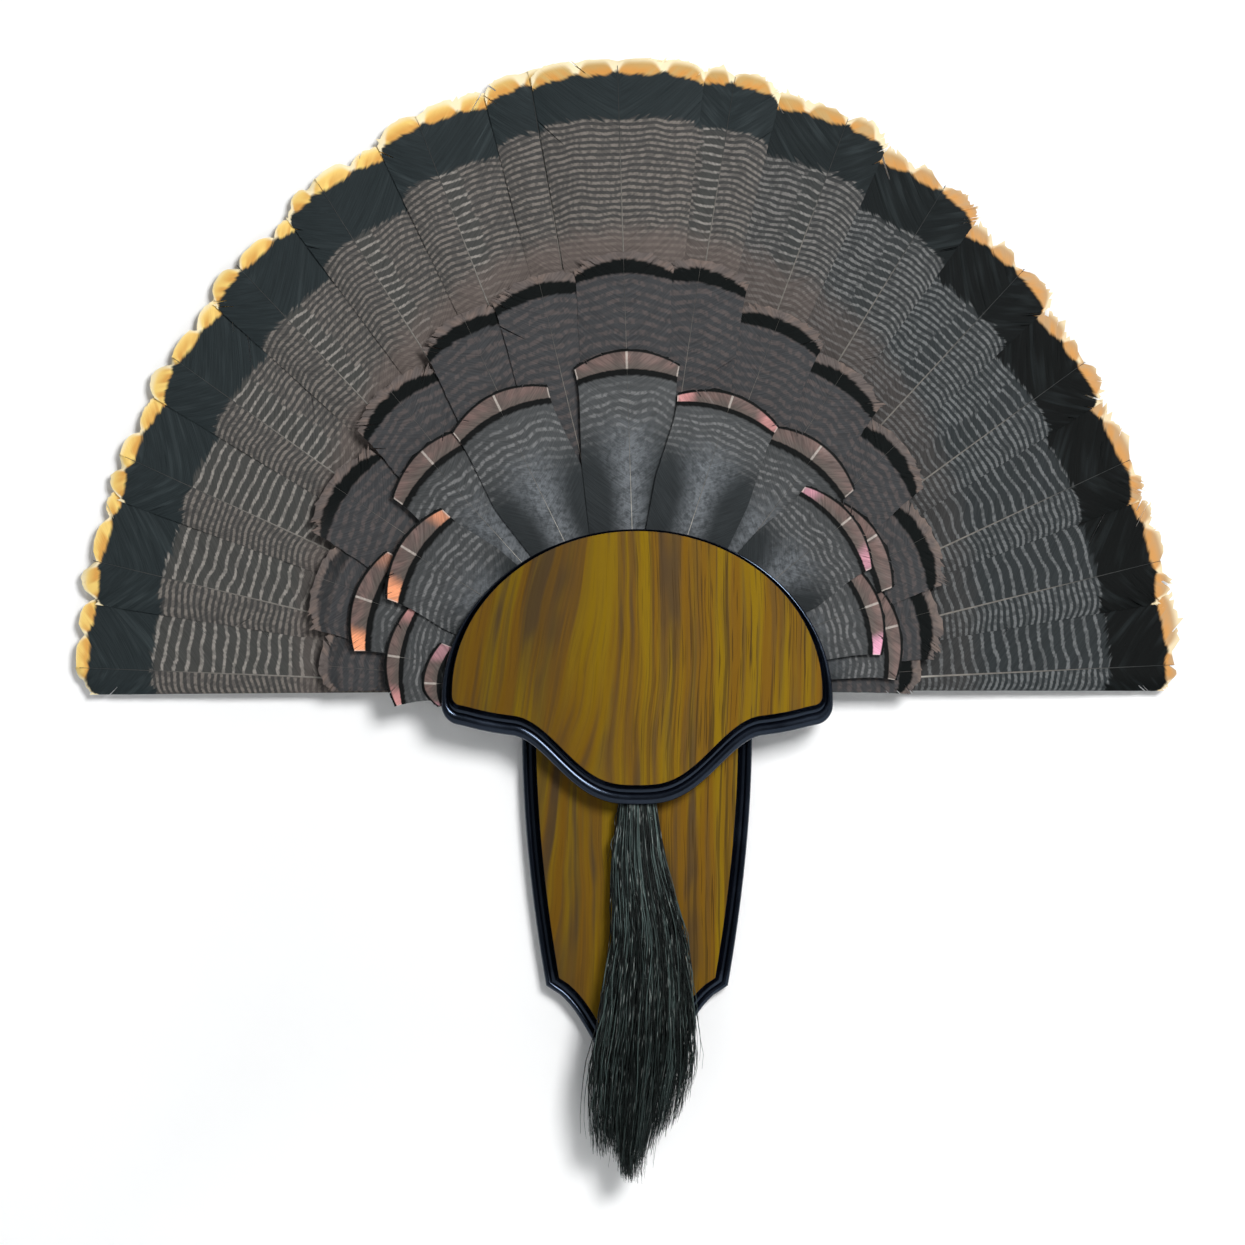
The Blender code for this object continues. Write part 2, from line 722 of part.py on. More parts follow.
def feather_rows():
    """The tail and the three rows of coverts over it, each on its own tier of the base."""
    tail = Row(
        level=TAIL_LEVEL,
        mouth=TAIL_TIER_RADIUS,
        socket=TAIL_SOCKET,
        quill=TAIL_QUILL,
        half_width=TAIL_HALF_WIDTH,
        shaft_back=TAIL_SHAFT_BACK,
        droop=TAIL_DROOP,
        vane_start=TAIL_VANE_START,
        vane_full=TAIL_VANE_FULL,
        vane_steps=TAIL_VANE_STEPS,
        tip=TAIL_TIP,
        tip_round=TAIL_TIP_ROUND,
        material="tail",
    )
    covert = tail._replace(
        socket=COVERT_SOCKET,
        quill=COVERT_QUILL,
        half_width=COVERT_HALF_WIDTH,
        shaft_back=COVERT_SHAFT_BACK,
        droop=COVERT_DROOP,
        vane_start=COVERT_VANE_START,
        vane_full=COVERT_VANE_FULL,
        vane_steps=COVERT_VANE_STEPS,
        tip=COVERT_TIP,
        tip_round=COVERT_TIP_ROUND,
    )
    rows = [(tail, tail_feathers())]
    plans = (
        ("major_covert", MAJOR_COVERTS, MAJOR_LEVEL, MAJOR_EDGE_SLOPE),
        ("middle_covert", MIDDLE_COVERTS, MIDDLE_LEVEL, COVERT_EDGE_SLOPE),
        ("lesser_covert", LESSER_COVERTS, LESSER_LEVEL, COVERT_EDGE_SLOPE),
    )
    for tier, (name, plan, level, edge_slope) in enumerate(plans, 1):
        mouth = TAIL_TIER_RADIUS - tier * TIER_STEP
        row = covert._replace(level=level, mouth=mouth, material=name)
        rows.append((row, covert_feathers(name, plan, edge_slope)))
    lesser = rows[-1][1]
    slopes = (SHORT_COVERT_SLOPE, COVERT_EDGE_SLOPE)
    lesser.append(Feather("short_covert", *SHORT_COVERT, -1, *slopes, SHORT_COVERT_LIFT, 0.0))
    return rows


def beard_planes():
    """The beard's sections from the slice that holds its strands down to its longest tip."""
    mid = STRAND_TOP + BEARD_MID_RUN
    wide = mid + BEARD_WIDE_RUN
    tip = wide + BEARD_TIP_RUN
    return (
        Plane(STRAND_TOP, 0.0, BEARD_TOP_HALF_WIDTH, BEARD_TOP_HALF_DEPTH, STRAND_TOP_SHARE),
        Plane(mid, BEARD_MID_SWAY, BEARD_MID_HALF_WIDTH, BEARD_MID_HALF_DEPTH, STRAND_MID_SHARE),
        Plane(wide, BEARD_WIDE_SWAY, BEARD_WIDE_HALF_WIDTH, BEARD_WIDE_HALF_DEPTH, STRAND_WIDE_SHARE),
        Plane(tip, BEARD_TIP_SWAY, BEARD_TIP_HALF_WIDTH, BEARD_TIP_HALF_DEPTH, 0.0),
    )


def beard_point(plane, across, out):
    """A point of a section, in the pivot's frame, from its place in a disc of radius one."""
    height = BEARD_BACK + plane.half_depth * (SLICE_OVERHANG + out)
    return (plane.sway + plane.half_width * across, ROOT_LEVEL - height, -plane.drop)


def between(upper, lower, share):
    return Plane(*(a + (b - a) * share for a, b in zip(upper, lower)))


def strand_rings(planes, strand):
    """One bristle: three sides, even places on a sunflower spiral, straight between sections."""
    turn = 2 * math.pi * GOLDEN * strand
    radius = math.sqrt((strand + 0.5) / STRANDS)
    across = radius * math.cos(turn)
    out = radius * math.sin(turn)
    rings = []
    for plane in planes[:-1]:
        turns = [math.radians(90 + 120 * corner) for corner in range(3)]
        half = plane.strand_share
        rings.append(
            [beard_point(plane, across + half * math.cos(a), out + half * math.sin(a)) for a in turns]
        )
    side_run = BEARD_RIGHT_RUN if across > 0 else BEARD_LEFT_RUN
    run = BEARD_TIP_RUN - (BEARD_TIP_RUN - side_run) * across**2
    run -= BEARD_RAGGED * (strand * GOLDEN % 1)
    tip = between(planes[-2], planes[-1], run / BEARD_TIP_RUN)
    rings.append([beard_point(tip, across, out)])
    return rings


def oval_turns():
    return [2 * math.pi * step / OVAL_SIDES for step in range(OVAL_SIDES)]


def beard_mesh():
    """All strands, grown out of the underside of one slice of skin."""
    planes = beard_planes()
    mesh = bmesh.new()
    turns = oval_turns()
    oval = [(SLICE_OVERHANG * math.cos(a), SLICE_OVERHANG * math.sin(a)) for a in turns]
    under = [mesh.verts.new(beard_point(planes[0], *place)) for place in oval]
    over = [mesh.verts.new(beard_point(planes[0]._replace(drop=SLICE_TOP), *place)) for place in oval]
    for index, corner in enumerate(under):
        after = (index + 1) % len(under)
        mesh.faces.new((corner, under[after], over[after], over[index]))
    mesh.faces.new(over)
    edges = [mesh.edges.get((corner, under[index - 1])) for index, corner in enumerate(under)]
    for strand in range(STRANDS):
        loops = [[mesh.verts.new(point) for point in ring] for ring in strand_rings(planes, strand)]
        for upper, lower in zip(loops, loops[1:]):
            for index, corner in enumerate(upper):
                after = (index + 1) % len(upper)
                ends = (lower[0],) if len(lower) == 1 else (lower[after], lower[index])
                mesh.faces.new((corner, upper[after], *ends))
        edges += [mesh.edges.get((corner, loops[0][index - 1])) for index, corner in enumerate(loops[0])]
    bmesh.ops.triangle_fill(mesh, use_beauty=True, edges=edges, normal=(0, 0, -1))
    return mesh


def root_mesh():
    """The dried skin above the bristles, flattened where the screw goes through."""
    sections = (
        (-ROOT_RISE, ROOT_TOP_HALF_WIDTH, ROOT_HALF_DEPTH * ROOT_TOP_DEPTH_SHARE),
        (-ROOT_RISE / 2, ROOT_HALF_WIDTH * ROOT_EYE_WIDTH_SHARE, ROOT_HALF_DEPTH),
        (ROOT_DROP / 2, ROOT_HALF_WIDTH, ROOT_HALF_DEPTH),
        (ROOT_DROP, BEARD_TOP_HALF_WIDTH * SLICE_OVERHANG, BEARD_TOP_HALF_DEPTH * SLICE_OVERHANG),
    )
    rings = []
    for drop, width, depth in sections:
        rings.append([(width * math.cos(a), -depth * math.sin(a), -drop) for a in oval_turns()])
    return loft(rings)


def make_beard(materials):
    """The beard and its root, hung on an empty that stands on the screw's axis."""
    pivot = add_empty("beard_pivot", (0, -ROOT_LEVEL, PIVOT_Z))
    root = add_piece("beard_root", root_mesh(), materials["hide"], pivot)
    add_piece("beard", beard_mesh(), materials["bristle"], pivot)
    return root


def slot_head(screw, back, front):
    """Cuts a straight driver slot between two heights across a screw's head."""
    x, _, z = screw.location
    reach = SCREW_HEAD_RADIUS * SLOT_OVERRUN
    slot = box((x - reach, back, z - SCREW_SLOT / 2), (x + reach, front, z + SCREW_SLOT / 2))
    cut(screw, add_cutter(screw.name + "_slot", slot))


def make_cap_screws(materials, pieces):
    """Countersunk screws from the back, one through the fan base and two through the board."""
    places = (
        (0.0, CENTRE_SCREW_Z, CAP_BACK + CENTRE_SCREW_BITE),
        (-SIDE_SCREW_X, SIDE_SCREW_Z, SKIRT_BACK + SIDE_SCREW_BITE),
        (SIDE_SCREW_X, SIDE_SCREW_Z, SKIRT_BACK + SIDE_SCREW_BITE),
    )
    rim = SCREW_RECESS + SCREW_HEAD_RIM
    cone = rim + SCREW_HEAD_CONE
    for number, (x, z, tip) in enumerate(places, 1):
        shape = (
            (SCREW_HEAD_RADIUS, SCREW_RECESS),
            (SCREW_HEAD_RADIUS, rim),
            (SHANK_RADIUS, cone),
            (SHANK_RADIUS, tip - SCREW_POINT),
            (0, tip),
        )
        hole = (
            (SCREW_HEAD_RADIUS + SCREW_FIT, -SCREW_RECESS),
            (SCREW_HEAD_RADIUS + SCREW_FIT, rim),
            (SHANK_RADIUS + SCREW_FIT, cone),
            (SHANK_RADIUS + SCREW_FIT, tip + FIT),
        )
        screw = add_piece(f"cap_screw_{number:02d}", turned(shape, SCREW_SIDES), materials["steel"])
        cutter = add_cutter(f"cap_screw_hole_{number:02d}", turned(hole, SCREW_SIDES))
        for item in (screw, cutter):
            item.location = (x, 0, z)
        slot_head(screw, -SCREW_RECESS, SCREW_RECESS + SCREW_SLOT_DEPTH)
        for piece in pieces:
            cut(piece, cutter)


def make_beard_screw(materials, pieces):
    """The pan-head screw that the beard swings on."""
    tip = BOARD_THICKNESS - BEARD_SCREW_BITE
    shape = (
        (SCREW_HEAD_RADIUS * PAN_TOP_SHARE, BEARD_SCREW_FRONT),
        (SCREW_HEAD_RADIUS * PAN_SHARE, BEARD_SCREW_SEAT + BEARD_SCREW_HEAD / 2),
        (SCREW_HEAD_RADIUS * PAN_SHARE, BEARD_SCREW_SEAT),
        (SHANK_RADIUS, BEARD_SCREW_SEAT),
        (SHANK_RADIUS, tip + SCREW_POINT),
        (0, tip),
    )
    hole = (
        (SHANK_RADIUS + SCREW_FIT, BEARD_SCREW_FRONT),
        (SHANK_RADIUS + SCREW_FIT, tip - FIT),
    )
    screw = add_piece("beard_screw", turned(shape, SCREW_SIDES), materials["steel"])
    cutter = add_cutter("beard_screw_hole", turned(hole, SCREW_SIDES))
    for item in (screw, cutter):
        item.location = (0, 0, PIVOT_Z)
    slot_head(screw, BEARD_SCREW_FRONT - SCREW_SLOT_DEPTH, BEARD_SCREW_FRONT + SCREW_SLOT_DEPTH)
    for piece in pieces:
        cut(piece, cutter)


def hanger_mesh():
    """A strip with flat feet, raised in the middle, with teeth along its lower edge."""
    half = HANGER_LENGTH / 2
    foot = half - HANGER_FOOT
    raised = foot - HANGER_RAMP
    top = HANGER_Z + HANGER_HEIGHT / 2
    bottom = HANGER_Z - HANGER_HEIGHT / 2
    seat = HANGER_POCKET_DEPTH - FIT
    columns = [(-half, seat, bottom), (-foot, seat, bottom)]
    for step in range(2 * HANGER_TEETH + 1):
        x = -raised + raised * step / HANGER_TEETH
        columns.append((x, seat - HANGER_RAISE, bottom + HANGER_TOOTH * (step % 2)))
    columns += [(foot, seat, bottom), (half, seat, bottom)]
    rings = []
    for x, back, low in columns:
        front = back - HANGER_SHEET
        rings.append([(x, -back, top), (x, -back, low), (x, -front, low), (x, -front, top)])
    return loft(rings)


def make_hanger(materials, board):
    """The sawtooth hanger in its pocket and the nail through each of its feet."""
    hanger = add_piece("wall_hanger", hanger_mesh(), materials["brass"])
    seat = HANGER_POCKET_DEPTH - FIT - HANGER_SHEET - FIT
    tip = HANGER_POCKET_DEPTH + NAIL_BITE
    for number, side in enumerate((-1, 1), 1):
        shape = (
            (NAIL_HEAD_RADIUS, seat - NAIL_HEAD),
            (NAIL_HEAD_RADIUS, seat),
            (NAIL_SHANK, seat),
            (NAIL_SHANK, tip - NAIL_SHANK),
            (0, tip),
        )
        hole = ((NAIL_SHANK + FIT, 0), (NAIL_SHANK + FIT, tip + FIT))
        nail = add_piece(f"hanger_nail_{number:02d}", turned(shape, NAIL_SIDES), materials["steel"])
        cutter = add_cutter(f"hanger_nail_hole_{number:02d}", turned(hole, NAIL_SIDES))
        for item in (nail, cutter):
            item.location = (side * (HANGER_LENGTH - HANGER_FOOT) / 2, 0, HANGER_Z)
        cut(hanger, cutter)
        cut(board, cutter)


def make_materials():
    """Colour, roughness and metallic value of every finish."""
    return {
        "lacquer": make_material("black_lacquer", (12, 20, 23), 0.22),
        "board_grain": make_material("board_wood_grain", (121, 90, 27), 0.38),
        "cap_grain": make_material("cap_wood_grain", (122, 91, 21), 0.38),
        "tail": make_material("tail_vane", (92, 88, 86), 0.65),
        "major_covert": make_material("major_covert_vane", (96, 88, 86), 0.65),
        "middle_covert": make_material("middle_covert_vane", (139, 113, 112), 0.55),
        "lesser_covert": make_material("lesser_covert_vane", (94, 96, 97), 0.55),
        "hide": make_material("cured_hide", (110, 88, 66), 0.8),
        "bristle": make_material("beard_bristle", (50, 56, 57), 0.6),
        "steel": make_material("zinc_steel", (170, 172, 174), 0.35, 1.0),
        "brass": make_material("brassed_steel", (178, 146, 84), 0.35, 1.0),
    }


def main():
    for item in list(bpy.data.objects):
        bpy.data.objects.remove(item)
    materials = make_materials()
    fan = add_empty("fan_centre", (0, 0, 0))
    board, board_veneer = make_board(materials)
    cap = make_cap(materials)
    base = make_fan_base(materials)
    make_feathers(feather_rows(), base, materials, fan)
    root = make_beard(materials)
    make_cap_screws(materials, (board, base, cap))
    make_beard_screw(materials, (board, board_veneer, root))
    make_hanger(materials, board)


main()
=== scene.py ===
"""Dresses the wall plaque: feather vanes, moulded boards, wood-grain sheets and the hanging beard.

Metres, +Z up. The wall is the plane Y = 0 and the front faces -Y, so a height above the wall is a
distance along -Y. Every feather is laid on the line, the edges and the tilt of its own solid.
"""

from __future__ import annotations

import logging
import math
from dataclasses import dataclass, field, replace
from enum import Enum
from typing import Callable, NamedTuple, Sequence, Union

import bpy
import numpy as np
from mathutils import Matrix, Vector

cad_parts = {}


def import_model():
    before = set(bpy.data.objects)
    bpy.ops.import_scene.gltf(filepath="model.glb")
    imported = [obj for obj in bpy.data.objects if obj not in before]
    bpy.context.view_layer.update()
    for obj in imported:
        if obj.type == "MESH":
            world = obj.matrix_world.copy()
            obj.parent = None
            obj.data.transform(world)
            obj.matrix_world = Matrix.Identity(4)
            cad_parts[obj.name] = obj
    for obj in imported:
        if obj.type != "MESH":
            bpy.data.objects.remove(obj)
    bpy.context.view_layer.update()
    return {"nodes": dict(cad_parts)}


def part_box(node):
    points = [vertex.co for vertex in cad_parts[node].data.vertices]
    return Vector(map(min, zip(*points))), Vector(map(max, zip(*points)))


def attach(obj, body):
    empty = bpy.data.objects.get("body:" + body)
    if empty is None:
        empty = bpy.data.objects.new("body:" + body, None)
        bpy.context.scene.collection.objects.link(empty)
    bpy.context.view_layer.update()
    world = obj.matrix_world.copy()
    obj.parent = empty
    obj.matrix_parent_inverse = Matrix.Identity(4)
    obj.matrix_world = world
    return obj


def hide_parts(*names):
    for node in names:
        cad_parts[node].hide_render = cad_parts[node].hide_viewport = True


log = logging.getLogger("fan_plaque")

Array = np.ndarray
Material, Node, Piece, Tree = bpy.types.Material, bpy.types.Node, bpy.types.Object, bpy.types.NodeTree
Pair = tuple[float, float]
Colour = tuple[float, float, float]
Ramp = tuple[float, float, float, float]
Value = Union["Wire", float]
Tone = Union["Wire", Colour]
Inputs = dict[Union[int, str], object]
Outline = list[Pair]

PLAQUE_BODY = "plaque"
BEARD_BODY = "beard"
WHITE: Colour = (1.0, 1.0, 1.0)
MERGE_GAP = 1e-6
BOARD_SMOOTH_DEG = 32.0
FAR = 1.0
QUILL_REACH = 0.004
SECTION_GAP = 0.0005
EDGE_REACH = 1e-4


def srgb(red: int, green: int, blue: int) -> Colour:
    """A linear colour from the 8-bit values that a screen shows."""
    levels = [value / 255 for value in (red, green, blue)]
    return tuple(v / 12.92 if v <= 0.04045 else ((v + 0.055) / 1.055) ** 2.4 for v in levels)


class Wire:
    """A socket of a graph that takes part in plain sums."""

    def __init__(self, graph: Graph, socket: bpy.types.NodeSocket) -> None:
        """Holds a socket and the graph that it is in."""
        self.graph, self.socket = graph, socket

    def __add__(self, other: Value) -> Wire:
        """The sum with another value."""
        return self.graph.math("ADD", self, other)

    def __sub__(self, other: Value) -> Wire:
        """What is left when another value is taken off."""
        return self.graph.math("SUBTRACT", self, other)

    def __rsub__(self, other: float) -> Wire:
        """What is left of a number when this value is taken off."""
        return self.graph.math("SUBTRACT", other, self)

    def __mul__(self, other: Value) -> Wire:
        """The product with another value."""
        return self.graph.math("MULTIPLY", self, other)

    def __truediv__(self, other: Value) -> Wire:
        """The ratio to another value."""
        return self.graph.math("DIVIDE", self, other)

    def __abs__(self) -> Wire:
        """The value without its sign."""
        return self.graph.math("ABSOLUTE", self)

    def ramp(self, low: Value, high: Value, start: float = 0.0, end: float = 1.0) -> Wire:
        """A smooth step from one value to another, which is start up to low and end from high on."""
        inputs = {0: self, 1: low, 2: high, 3: start, 4: end}
        return self.graph.wire("ShaderNodeMapRange", inputs, interpolation_type="SMOOTHSTEP")

    def split(self) -> tuple[Wire, ...]:
        """The three values of a vector."""
        made = self.graph.node("ShaderNodeSeparateXYZ", {0: self})
        return tuple(Wire(self.graph, socket) for socket in made.outputs)


class Graph:
    """A node tree with short calls for the nodes that the finishes use."""

    def __init__(self, tree: Tree) -> None:
        """Wraps a node tree."""
        self.tree = tree

    def feed(self, node: Node, inputs: Inputs) -> None:
        """Links wires to a node's inputs and sets plain values there.

        Args:
            node: The node.
            inputs: Wires and values, by the input's index or name.
        """
        for key, value in inputs.items():
            entry = node.inputs[key]
            if isinstance(value, Wire):
                self.tree.links.new(value.socket, entry)
            else:
                entry.default_value = (*value, 1.0) if entry.type == "RGBA" else value

    def node(self, kind: str, inputs: Inputs | None = None, **settings) -> Node:
        """Adds a node.

        Args:
            kind: The node's Blender type.
            inputs: Wires and values, by the input's index or name.
            **settings: Properties of the node.

        Returns:
            The new node.
        """
        made = self.tree.nodes.new(kind)
        for name, value in settings.items():
            setattr(made, name, value)
        self.feed(made, inputs or {})
        return made

    def wire(self, kind: str, inputs: Inputs | None = None, output: int | str = 0, **settings) -> Wire:
        """Adds a node and takes one of its outputs."""
        return Wire(self, self.node(kind, inputs, **settings).outputs[output])

    def math(self, operation: str, first: Value, second: Value = 0.0, clamp: bool = False) -> Wire:
        """One arithmetic step, by Blender's name of it, kept within 0 and 1 if clamped."""
        return self.wire("ShaderNodeMath", {0: first, 1: second}, operation=operation, use_clamp=clamp)

    def mix(self, share: Value, first: Tone, second: Tone, blend: str = "MIX") -> Wire:
        """A blend of two colours, with a share of the second."""
        inputs = {0: share, 6: first, 7: second}
        return self.wire("ShaderNodeMix", inputs, 2, data_type="RGBA", blend_type=blend)

    def shade(self, colour: Tone, level: Value) -> Wire:
        """A colour made lighter or darker by a factor."""
        grey = self.wire("ShaderNodeCombineColor", {0: level, 1: level, 2: level})
        return self.mix(1.0, colour, grey, "MULTIPLY")

    def point(self, x: Value, y: Value, z: Value) -> Wire:
        """A vector from three values."""
        return self.wire("ShaderNodeCombineXYZ", {0: x, 1: y, 2: z})

    def noise(self, vector: Wire, scale: Value = 1.0, detail: float = 2.0, rough: float = 0.5) -> Wire:
        """Soft noise from 0 to 1 at a point."""
        inputs = {"Vector": vector, "Scale": scale, "Detail": detail, "Roughness": rough}
        return self.wire("ShaderNodeTexNoise", inputs)

    def bump(self, height: Wire, strength: float, depth: float) -> Wire:
        """A normal roughened by a height map, which is depth metres deep."""
        return self.wire("ShaderNodeBump", {"Strength": strength, "Distance": depth, "Height": height})

    def attribute(self, name: str) -> tuple[Wire, ...]:
        """The three values that the mesh holds at each of its points."""
        return self.wire("ShaderNodeAttribute", output="Vector", attribute_name=name).split()

    def place(self) -> tuple[Wire, ...]:
        """The point's place in the object's own frame."""
        return self.wire("ShaderNodeTexCoord", output="Object").split()

    def call(self, group: Tree, inputs: Inputs) -> dict[str, Wire]:
        """Places a node group, and gives its outputs by name."""
        made = self.node("ShaderNodeGroup", inputs, node_tree=group)
        return {socket.name: Wire(self, socket) for socket in made.outputs}


def new_group(
    name: str, inputs: Sequence[str], outputs: Sequence[str], colours: Sequence[str] = ()
) -> tuple[Graph, dict[str, Wire], Node]:
    """An empty shader node group.

    Args:
        name: The group's name.
        inputs: Names of its inputs.
        outputs: Names of its outputs.
        colours: Which of those names are colours and not single values.

    Returns:
        The group's graph, its inputs by name and its output node.
    """
    tree = bpy.data.node_groups.new(name, "ShaderNodeTree")
    for way, labels in (("INPUT", inputs), ("OUTPUT", outputs)):
        for label in labels:
            kind = "NodeSocketColor" if label in colours else "NodeSocketFloat"
            tree.interface.new_socket(name=label, in_out=way, socket_type=kind)
    graph = Graph(tree)
    entry = graph.node("NodeGroupInput")
    given = {label: Wire(graph, entry.outputs[label]) for label in inputs}
    return graph, given, graph.node("NodeGroupOutput")


class RaggedEdge(NamedTuple):
    """How far the end of a band wanders from barb to barb and how soft it is, in metres."""

    ragged: float
    soft: float


class BarStyle(NamedTuple):
    """Cross bars: their step in metres, how much is filled, waviness, softness and breaks."""

    step: float
    fill: float
    wave: float
    soft: float
    broken: float


class FeatherPatterns:
    """The node groups that every vane's finish shares, with noise scaled across and along the barbs."""

    fine: Pair = (1300.0, 2.5)
    broad: Pair = (190.0, 1.2)
    edge_scale: float = 420.0
    step_scale: float = 780.0
    step_jitter: float = 0.36
    wave_scale: Pair = (48.0, 24.0)
    gap_scale: Pair = (330.0, 150.0)

    def __init__(self) -> None:
        """Builds the groups."""
        self.streaks, self.band, self.bars = self._streaks(), self._band(), self._bars()

    def _streaks(self) -> Tree:
        """Fine streaks that run along the barbs.

        Returns:
            The group.
        """
        graph, given, end = new_group("barb_streaks", ("Barb", "Out", "Seed"), ("Streak", "Clump", "Level"))
        fine, broad = (
            graph.point(given["Barb"] * barb, given["Out"] * out, given["Seed"])
            for barb, out in (self.fine, self.broad)
        )
        streak, clump = graph.noise(fine), graph.noise(broad, detail=1.0)
        graph.feed(end, {"Streak": streak, "Clump": clump, "Level": streak.ramp(0.25, 0.75, 0.80, 1.18)})
        return graph.tree

    def _band(self) -> Tree:
        """A band from the tip inwards, with an end that breaks up from barb to barb.

        Returns:
            The group.
        """
        names = ("Distance", "Barb", "Seed", "End", "Ragged", "Soft")
        graph, given, end = new_group("ragged_band", names, ("Mask",))
        jagged = graph.noise(graph.point(given["Barb"] * self.edge_scale, given["Seed"], 0.5))
        moved = given["Distance"] + (jagged - 0.5) * given["Ragged"]
        past = moved.ramp(given["End"] - given["Soft"], given["End"] + given["Soft"])
        graph.feed(end, {"Mask": 1.0 - past})
        return graph.tree

    def _bars(self) -> Tree:
        """Wavy cross bars that step from barb to barb and break into dashes.

        Returns:
            The group.
        """
        names = ("Distance", "Across", "Barb", "Seed", "Step", "Fill", "Wave", "Soft", "Broken")
        graph, given, end = new_group("vane_bars", names, ("Mask",))

        def spread(across: float, along: float) -> Wire:
            """Noise that is stretched over the vane."""
            spot = graph.point(given["Across"] * across, given["Distance"] * along, given["Seed"])
            return graph.noise(spot, detail=1.0)

        wave = (spread(*self.wave_scale) - 0.5) * given["Wave"]
        step = graph.noise(graph.point(given["Barb"] * self.step_scale, given["Seed"], 2.0))
        jitter = (step - 0.5) * self.step_jitter
        phase = given["Distance"] / given["Step"] + wave + jitter
        rise = graph.math("SINE", phase * math.tau) * 0.5 + 0.5
        edge = 1.0 - given["Fill"]
        bars = rise.ramp(edge - given["Soft"], edge + given["Soft"])
        gaps = spread(*self.gap_scale).ramp(0.58, 0.40) * given["Broken"]
        graph.feed(end, {"Mask": bars * (1.0 - gaps)})
        return graph.tree


def titled(style: RaggedEdge | BarStyle, **changes: Value) -> Inputs:
    """A style's values, with some changed, named as a group's inputs."""
    return {name.title(): value for name, value in (style._asdict() | changes).items()}


@dataclass(frozen=True)
class Plume:
    """A vane's values as its mesh holds them, and the patterns drawn from them.

    The limit is where a tail feather's band ends, and on a covert the distance from its worn tip.
    The glow is how full a tail feather's tip lobe is, and on a covert the share of painted highlight towards
    its edges.
    """

    graph: Graph
    patterns: FeatherPatterns
    across: Wire
    distance: Wire
    barb: Wire
    out: Wire
    seed: Wire
    limit: Wire
    inner: Wire
    tint: Wire
    glow: Wire
    spacing: Wire
    streak: Wire
    clump: Wire
    level: Wire

    @classmethod
    def read(cls, graph: Graph, patterns: FeatherPatterns) -> Plume:
        """Reads the four vectors that FeatherPiece stores, and lays streaks along the barbs.

        Args:
            graph: The material's graph.
            patterns: The node groups.

        Returns:
            The vane's values.
        """
        lay, kind, tone, bars = (graph.attribute("plume_" + name) for name in ("lay", "kind", "tone", "bars"))
        streaks = graph.call(patterns.streaks, {"Barb": lay[2], "Out": kind[0], "Seed": kind[1]})
        return cls(graph, patterns, *lay, *kind, *tone, bars[0], *streaks.values())

    def band(self, end: Value, edge: RaggedEdge, distance: Wire | None = None) -> Wire:
        """The mask of a band from the tip to an end, at this or another distance from the tip."""
        inputs = {"Distance": distance or self.distance, "Barb": self.barb, "Seed": self.seed, "End": end}
        return self.graph.call(self.patterns.band, inputs | titled(edge))["Mask"]

    def bars(self, style: BarStyle, spacing: Value = 1.0) -> Wire:
        """The mask of cross bars, with a factor on their step."""
        inputs = {"Distance": self.distance, "Across": self.across, "Barb": self.barb, "Seed": self.seed}
        return self.graph.call(self.patterns.bars, inputs | titled(style, step=spacing * style.step))["Mask"]


@dataclass(frozen=True)
class Finish:
    """What every finish has: a name and the plain values of its shader."""

    name: str
    roughness: float = 0.6
    metallic: float = 0.0
    specular: float = 0.5

    def build(self) -> Material:
        """Builds the material.

        Returns:
            The material, with plain values set on its shader and the finish's own surface linked to it.
        """
        material = bpy.data.materials.new(self.name)
        material.use_nodes = True
        graph = Graph(material.node_tree)
        plain = {"Roughness": self.roughness, "Metallic": self.metallic, "Specular IOR Level": self.specular}
        graph.feed(material.node_tree.nodes["Principled BSDF"], plain | self.surface(graph))
        return material

    def surface(self, graph: Graph) -> Inputs:
        """What feeds the shader beyond the plain values, by the shader's input."""
        raise NotImplementedError


@dataclass(frozen=True)
class PlainPaint(Finish):
    """One colour all over."""

    colour: Colour = WHITE

    def surface(self, graph: Graph) -> Inputs:
        """The plain colour."""
        return {"Base Color": self.colour}


